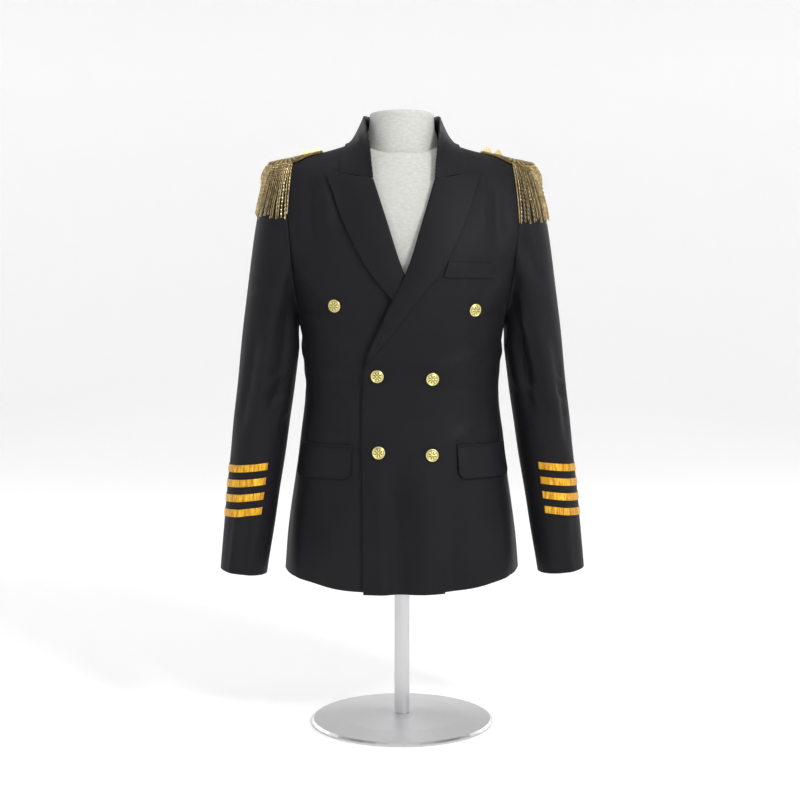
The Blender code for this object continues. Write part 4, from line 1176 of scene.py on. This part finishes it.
def hang_chain(bm, link, line, normal, twist, share):
    """Links one after another down a share of a line, each a quarter turn from the last."""
    gone = gone_along(line)
    for number in range(int(gone[-1] * share / LINK_PITCH)):
        at = (number + 0.5) * LINK_PITCH
        here = read_line(at, gone, line)
        down = Vector(read_line(at + 0.001, gone, line) - here).normalized()
        side = down.cross(Vector(normal)).normalized()
        turn = math.radians(45.0 + 90.0 * (number % 2)) + twist
        axis_x = side * math.cos(turn) + side.cross(down) * math.sin(turn)
        matrix = Matrix((axis_x, down.cross(axis_x), down)).transposed().to_4x4()
        bm.from_mesh(link)
        bm.verts.ensure_lookup_table()
        bmesh.ops.transform(bm, matrix=Matrix.Translation(here) @ matrix,
                            verts=bm.verts[-len(link.vertices):])


def build_fringes(look):
    coarse = fringe_grid()
    normals = grid_normals(coarse)
    link = link_mesh()
    rng = np.random.default_rng(7)
    steps = np.linspace(0.0, 1.0, 14)
    for side, turn in SIDES.items():
        bm = bmesh.new()
        for strand in range(STRANDS):
            across = (strand + 0.5) / STRANDS
            sway = 0.22 / STRANDS * math.sin(2.4 * strand)
            line = np.array([read_grid(coarse, up, across + sway * up * up) for up in steps])
            facing = read_grid(normals, 0.5, across)
            line = line - facing * 0.0008 * steps[:, None]
            way = line[0, :2] - (BOARD_MID, RIDGE_Y)
            pulled = 0.0020 + 0.0030 * abs(2.0 * across - 1.0) ** 6
            line[0, :2] -= way / np.linalg.norm(way) * pulled
            last = line[-1] - line[-2]
            tip = line[-1] + last * LONGER[side] / np.linalg.norm(last)
            line = np.concatenate((line, [tip]))
            shorter = 0.10 * math.exp(-((across - 0.56) / 0.13) ** 2)
            share = 0.995 - shorter - 0.06 * rng.random()
            hang_chain(bm, link, line * turn, facing * turn, 0.5 * rng.random(), share)
        place(f"epaulette_fringe_{side}", "chains", bm, look)


# ---------------------------------------------------------------- finishes
def material(name, colour, roughness, metallic, **more):
    """A new material and its principled shader, with constants on the shader's own sockets."""
    look = bpy.data.materials.new(name)
    look.use_nodes = True
    shader = look.node_tree.nodes["Principled BSDF"]
    shader.inputs["Base Color"].default_value = (*colour, 1.0)
    shader.inputs["Roughness"].default_value = roughness
    shader.inputs["Metallic"].default_value = metallic
    for socket, value in more.items():
        shader.inputs[socket.replace("_", " ")].default_value = value
    return look, look.node_tree, shader


def add_node(tree, kind, feeds, **values):
    """A shader node: feeds gives the output that each linked socket reads, values the rest."""
    node = tree.nodes.new(f"ShaderNode{kind}")
    for socket, output in feeds.items():
        tree.links.new(output, node.inputs[socket])
    for socket, value in values.items():
        node.inputs[socket].default_value = value
    return node


def add_math(tree, operation, *given):
    """A math node on outputs and plain numbers."""
    node = tree.nodes.new("ShaderNodeMath")
    node.operation = operation
    for socket, value in zip(node.inputs, given):
        if isinstance(value, float):
            socket.default_value = value
        else:
            tree.links.new(value, socket)
    return node.outputs["Value"]


def places(tree, source):
    """Coordinates of the object, or of the cloth laid flat."""
    return tree.nodes.new("ShaderNodeTexCoord").outputs[source]


def add_bump(tree, shader, height, distance, strength):
    bump = add_node(tree, "Bump", {"Height": height}, Distance=distance, Strength=strength)
    tree.links.new(bump.outputs["Normal"], shader.inputs["Normal"])


def add_noise(tree, scale, detail, stretch=(1.0, 1.0, 1.0)):
    """A noise value on the object's own coordinates."""
    mapping = add_node(tree, "Mapping", {"Vector": places(tree, "Object")}, Scale=stretch)
    return add_node(tree, "TexNoise", {"Vector": mapping.outputs["Vector"]},
                    Scale=scale, Detail=detail).outputs["Fac"]


def add_blend(tree, shader, factor, low, high, start, end):
    """Blends the shader's colour between two, by a factor."""
    ramp = add_node(tree, "ValToRGB", {"Fac": factor})
    for stop, position, colour in zip(ramp.color_ramp.elements, (start, end), (low, high)):
        stop.position = position
        stop.color = (*colour, 1.0)
    tree.links.new(ramp.outputs["Color"], shader.inputs["Base Color"])


def weave_group():
    """Shared weave: two crossing sets of threads. Gives a height from 0 to 1."""
    group = bpy.data.node_groups.new("crossed_threads", "ShaderNodeTree")
    group.interface.new_socket("Vector", in_out="INPUT", socket_type="NodeSocketVector")
    group.interface.new_socket("Fineness", in_out="INPUT", socket_type="NodeSocketFloat")
    group.interface.new_socket("Height", in_out="OUTPUT", socket_type="NodeSocketFloat")
    given = group.nodes.new("NodeGroupInput").outputs
    threads = []
    for direction in ("X", "Y"):
        wave = add_node(group, "TexWave", {"Vector": given["Vector"], "Scale": given["Fineness"]},
                        Distortion=0.4)
        wave.bands_direction = direction
        threads.append(wave.outputs["Fac"])
    outlet = group.nodes.new("NodeGroupOutput")
    group.links.new(add_math(group, "MULTIPLY", *threads), outlet.inputs["Height"])
    return group


def add_weave(tree, weave, source, fineness):
    threads = tree.nodes.new("ShaderNodeGroup")
    threads.node_tree = weave
    threads.inputs["Fineness"].default_value = fineness
    tree.links.new(places(tree, source), threads.inputs["Vector"])
    return threads.outputs["Height"]


def suiting_look():
    """Near-black worsted: a fine twill, a soft sheen and slight broad mottling."""
    look, tree, shader = material(
        "dark_suiting", (0.0090, 0.0084, 0.0104), 0.58, 0.0, Sheen_Weight=0.035,
        Sheen_Roughness=0.40, Sheen_Tint=(0.66, 0.62, 0.70, 1.0), Specular_IOR_Level=0.14)
    turn = add_node(tree, "Mapping", {"Vector": places(tree, "UV")},
                    Rotation=(0.0, 0.0, math.radians(56.0)))
    twill = add_node(tree, "TexWave", {"Vector": turn.outputs["Vector"]},
                     Scale=360.0, Distortion=0.6)
    add_blend(tree, shader, add_noise(tree, 7.0, 5.0),
              (0.0072, 0.0067, 0.0084), (0.0102, 0.0095, 0.0116), 0.32, 0.70)
    add_bump(tree, shader, twill.outputs["Fac"], 0.00012, 0.35)
    return look


def linen_look(weave):
    """Warm light-grey linen stretched over the form."""
    look, tree, shader = material("form_linen", (0.58, 0.56, 0.50), 0.88, 0.0, Sheen_Weight=0.15)
    slub = add_noise(tree, 210.0, 4.0, (0.7, 0.7, 1.6))
    add_blend(tree, shader, slub, (0.50, 0.50, 0.47), (0.60, 0.60, 0.57), 0.30, 0.72)
    add_bump(tree, shader, add_weave(tree, weave, "Object", 300.0), 0.0003, 0.4)
    return look


def braid_look(weave):
    """Golden-yellow rank braid, ribbed across its length, with painted highlights and shade on its
    ribs and in streaks along it.
    """
    look, tree, shader = material("gold_braid", (0.90, 0.44, 0.03), 0.36, 0.60)
    ribs = add_node(tree, "TexWave", {"Vector": places(tree, "UV")}, Scale=190.0, Distortion=0.8)
    relief = add_math(tree, "MULTIPLY_ADD", add_weave(tree, weave, "UV", 420.0), 0.5,
                      ribs.outputs["Fac"])
    # painted highlight and shade: ribs and streaks blend the colour between a shaded and a lit gold
    lit_and_shaded_streaks = add_noise(tree, 330.0, 3.0, (1.0, 1.0, 0.13))
    shade = add_math(tree, "MULTIPLY_ADD", ribs.outputs["Fac"], 0.35, lit_and_shaded_streaks)
    add_blend(tree, shader, shade, (0.42, 0.10, 0.002), (1.0, 0.62, 0.040), 0.54, 0.80)
    add_bump(tree, shader, relief, 0.0003, 0.5)
    return look


def fringe_look():
    """Gilt chain with slight tarnish in places."""
    light = (0.96, 0.78, 0.42)
    look, tree, shader = material("fringe_gilt", light, 0.30, 1.0)
    tarnish = add_noise(tree, 330.0, 3.0, (1.0, 1.0, 0.16))
    add_blend(tree, shader, tarnish, (0.40, 0.29, 0.12), light, 0.35, 0.60)
    return look


def shaded_relief_look(name, light, dark, roughness):
    """Gilt darkened by painted shade in the hollows of its relief, read from the shade attribute.
    """
    look, tree, shader = material(name, light, roughness, 1.0)
    shade = tree.nodes.new("ShaderNodeAttribute")
    shade.attribute_name = "shade"
    add_blend(tree, shader, shade.outputs["Fac"], light, dark, 0.12, 0.80)
    return look


def steel_look():
    """Brushed steel of the stand."""
    look, tree, shader = material("brushed_steel", (0.60, 0.60, 0.61), 0.34, 1.0, Anisotropic=0.5)
    add_bump(tree, shader, add_noise(tree, 14.0, 5.0, (1.0, 1.0, 30.0)), 0.0002, 0.15)
    return look


def paint(nodes, look):
    """Finish of some of the part's own nodes that stay as they are."""
    for node in nodes:
        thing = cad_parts[node]
        thing.data.materials.clear()
        thing.data.materials.append(look)


# ---------------------------------------------------------------- stage
GLOW = 0.22
SKY = 0.25
FLOOR_R = 5.0
WALL_TURN = 1.8          # radius of the curve from the floor to the wall
WALL_TALL = 4.5


def stage_look():
    """Matt white that glows a little, so that the stage is even all round."""
    white = (1.0, 1.0, 1.0, 1.0)
    return material("pale_floor", (0.90, 0.90, 0.90), 0.9, 0.0, Emission_Strength=GLOW,
                    Emission_Color=white, Specular_IOR_Level=0.1)[0]


def build_floor():
    """A pale round floor that turns up into a plain wall all round."""
    profile = [(0.0, 0.0), (1.0, 0.0), (2.0, 0.0), (FLOOR_R - WALL_TURN, 0.0)]
    for turn in np.linspace(0.0, 0.5 * math.pi, 13)[1:]:
        profile.append((FLOOR_R - WALL_TURN * (1.0 - math.sin(turn)),
                        WALL_TURN * (1.0 - math.cos(turn))))
    profile.append((FLOOR_R, WALL_TALL))
    bm = spun(profile, 96)
    bmesh.ops.reverse_faces(bm, faces=bm.faces)
    mesh = as_mesh("floor", bm)
    mesh.shade_smooth()
    mesh.materials.append(stage_look())
    into_scene("floor", mesh)


# columns: name, place, aimed at, width, height, power
LIGHTS = (
    ("key", (1.7, -2.3, 2.5), (0.0, 0.0, 0.75), 0.7, 0.7, 60.0),
    ("fill", (-2.4, -2.0, 1.4), (0.0, 0.0, 0.65), 1.0, 1.6, 2.5),
    ("top", (0.0, 0.1, 2.9), (0.0, 0.0, 0.6), 1.4, 1.0, 17.0),
    ("back_left", (-1.9, 2.6, 2.0), (0.0, 0.0, 0.7), 0.8, 1.4, 14.0),
    ("back_right", (1.9, 2.6, 2.0), (0.0, 0.0, 0.7), 0.8, 1.4, 14.0),
)


def aim(thing, target):
    way = Vector(target) - thing.location
    thing.rotation_euler = way.to_track_quat("-Z", "Y").to_euler()


def build_lights():
    for name, at, target, wide, tall, power in LIGHTS:
        lamp = bpy.data.lights.new(name, "AREA")
        lamp.shape = "RECTANGLE"
        lamp.size = wide
        lamp.size_y = tall
        lamp.energy = power
        thing = into_scene(name, lamp)
        thing.location = at
        aim(thing, target)
    world = bpy.data.worlds.new("studio")
    world.use_nodes = True
    sky = world.node_tree.nodes["Background"].inputs
    sky["Color"].default_value = (1.0, 1.0, 1.0, 1.0)
    sky["Strength"].default_value = SKY
    bpy.context.scene.world = world


CAMERA_TURN = math.radians(2.0)      # how far round towards the wearer's right it stands
CAMERA_AWAY = 2.4
SENSOR = 36.0
SEEN_WIDE = 1.304                    # width of what the picture takes in at the chest
CAMERA_Z = 0.695
AIM_Z = 0.532
AIM_ASIDE = -0.0033


def build_camera():
    """A level eye in front of the chest, tilted down a little to take in the hem."""
    data = bpy.data.cameras.new("camera")
    data.sensor_width = SENSOR
    data.lens = SENSOR * CAMERA_AWAY / SEEN_WIDE
    camera = into_scene("camera", data)
    back = Vector((-math.sin(CAMERA_TURN), -math.cos(CAMERA_TURN), 0.0))
    aside = Vector((math.cos(CAMERA_TURN), -math.sin(CAMERA_TURN), 0.0)) * AIM_ASIDE
    camera.location = back * CAMERA_AWAY + aside + Vector((0.0, 0.0, CAMERA_Z))
    aim(camera, aside + Vector((0.0, 0.0, AIM_Z)))
    bpy.context.scene.camera = camera


def main():
    weave = weave_group()
    suiting = suiting_look()
    for build in (build_body, build_lapels, build_collar, build_sleeves, build_welt, build_flaps):
        build(suiting)
    build_stripes(braid_look(weave))
    # the dark colours here are the painted shade in the hollows of the relief
    build_buttons(shaded_relief_look("button_gilt", (0.88, 0.78, 0.33), (0.11, 0.09, 0.012), 0.34))
    build_boards(shaded_relief_look("board_gilt", (0.90, 0.70, 0.30), (0.16, 0.10, 0.03), 0.30))
    build_fringes(fringe_look())
    build_form(linen_look(weave))
    paint(("form_pole", "form_base"), steel_look())
    paint([f"epaulette_stud_{side}_{number}" for side in SIDES for number in (1, 2)],
          material("stud_gilt", (0.74, 0.60, 0.27), 0.24, 1.0)[0])
    build_floor()
    build_lights()
    build_camera()
    bpy.context.scene.view_settings.view_transform = "Standard"


main()
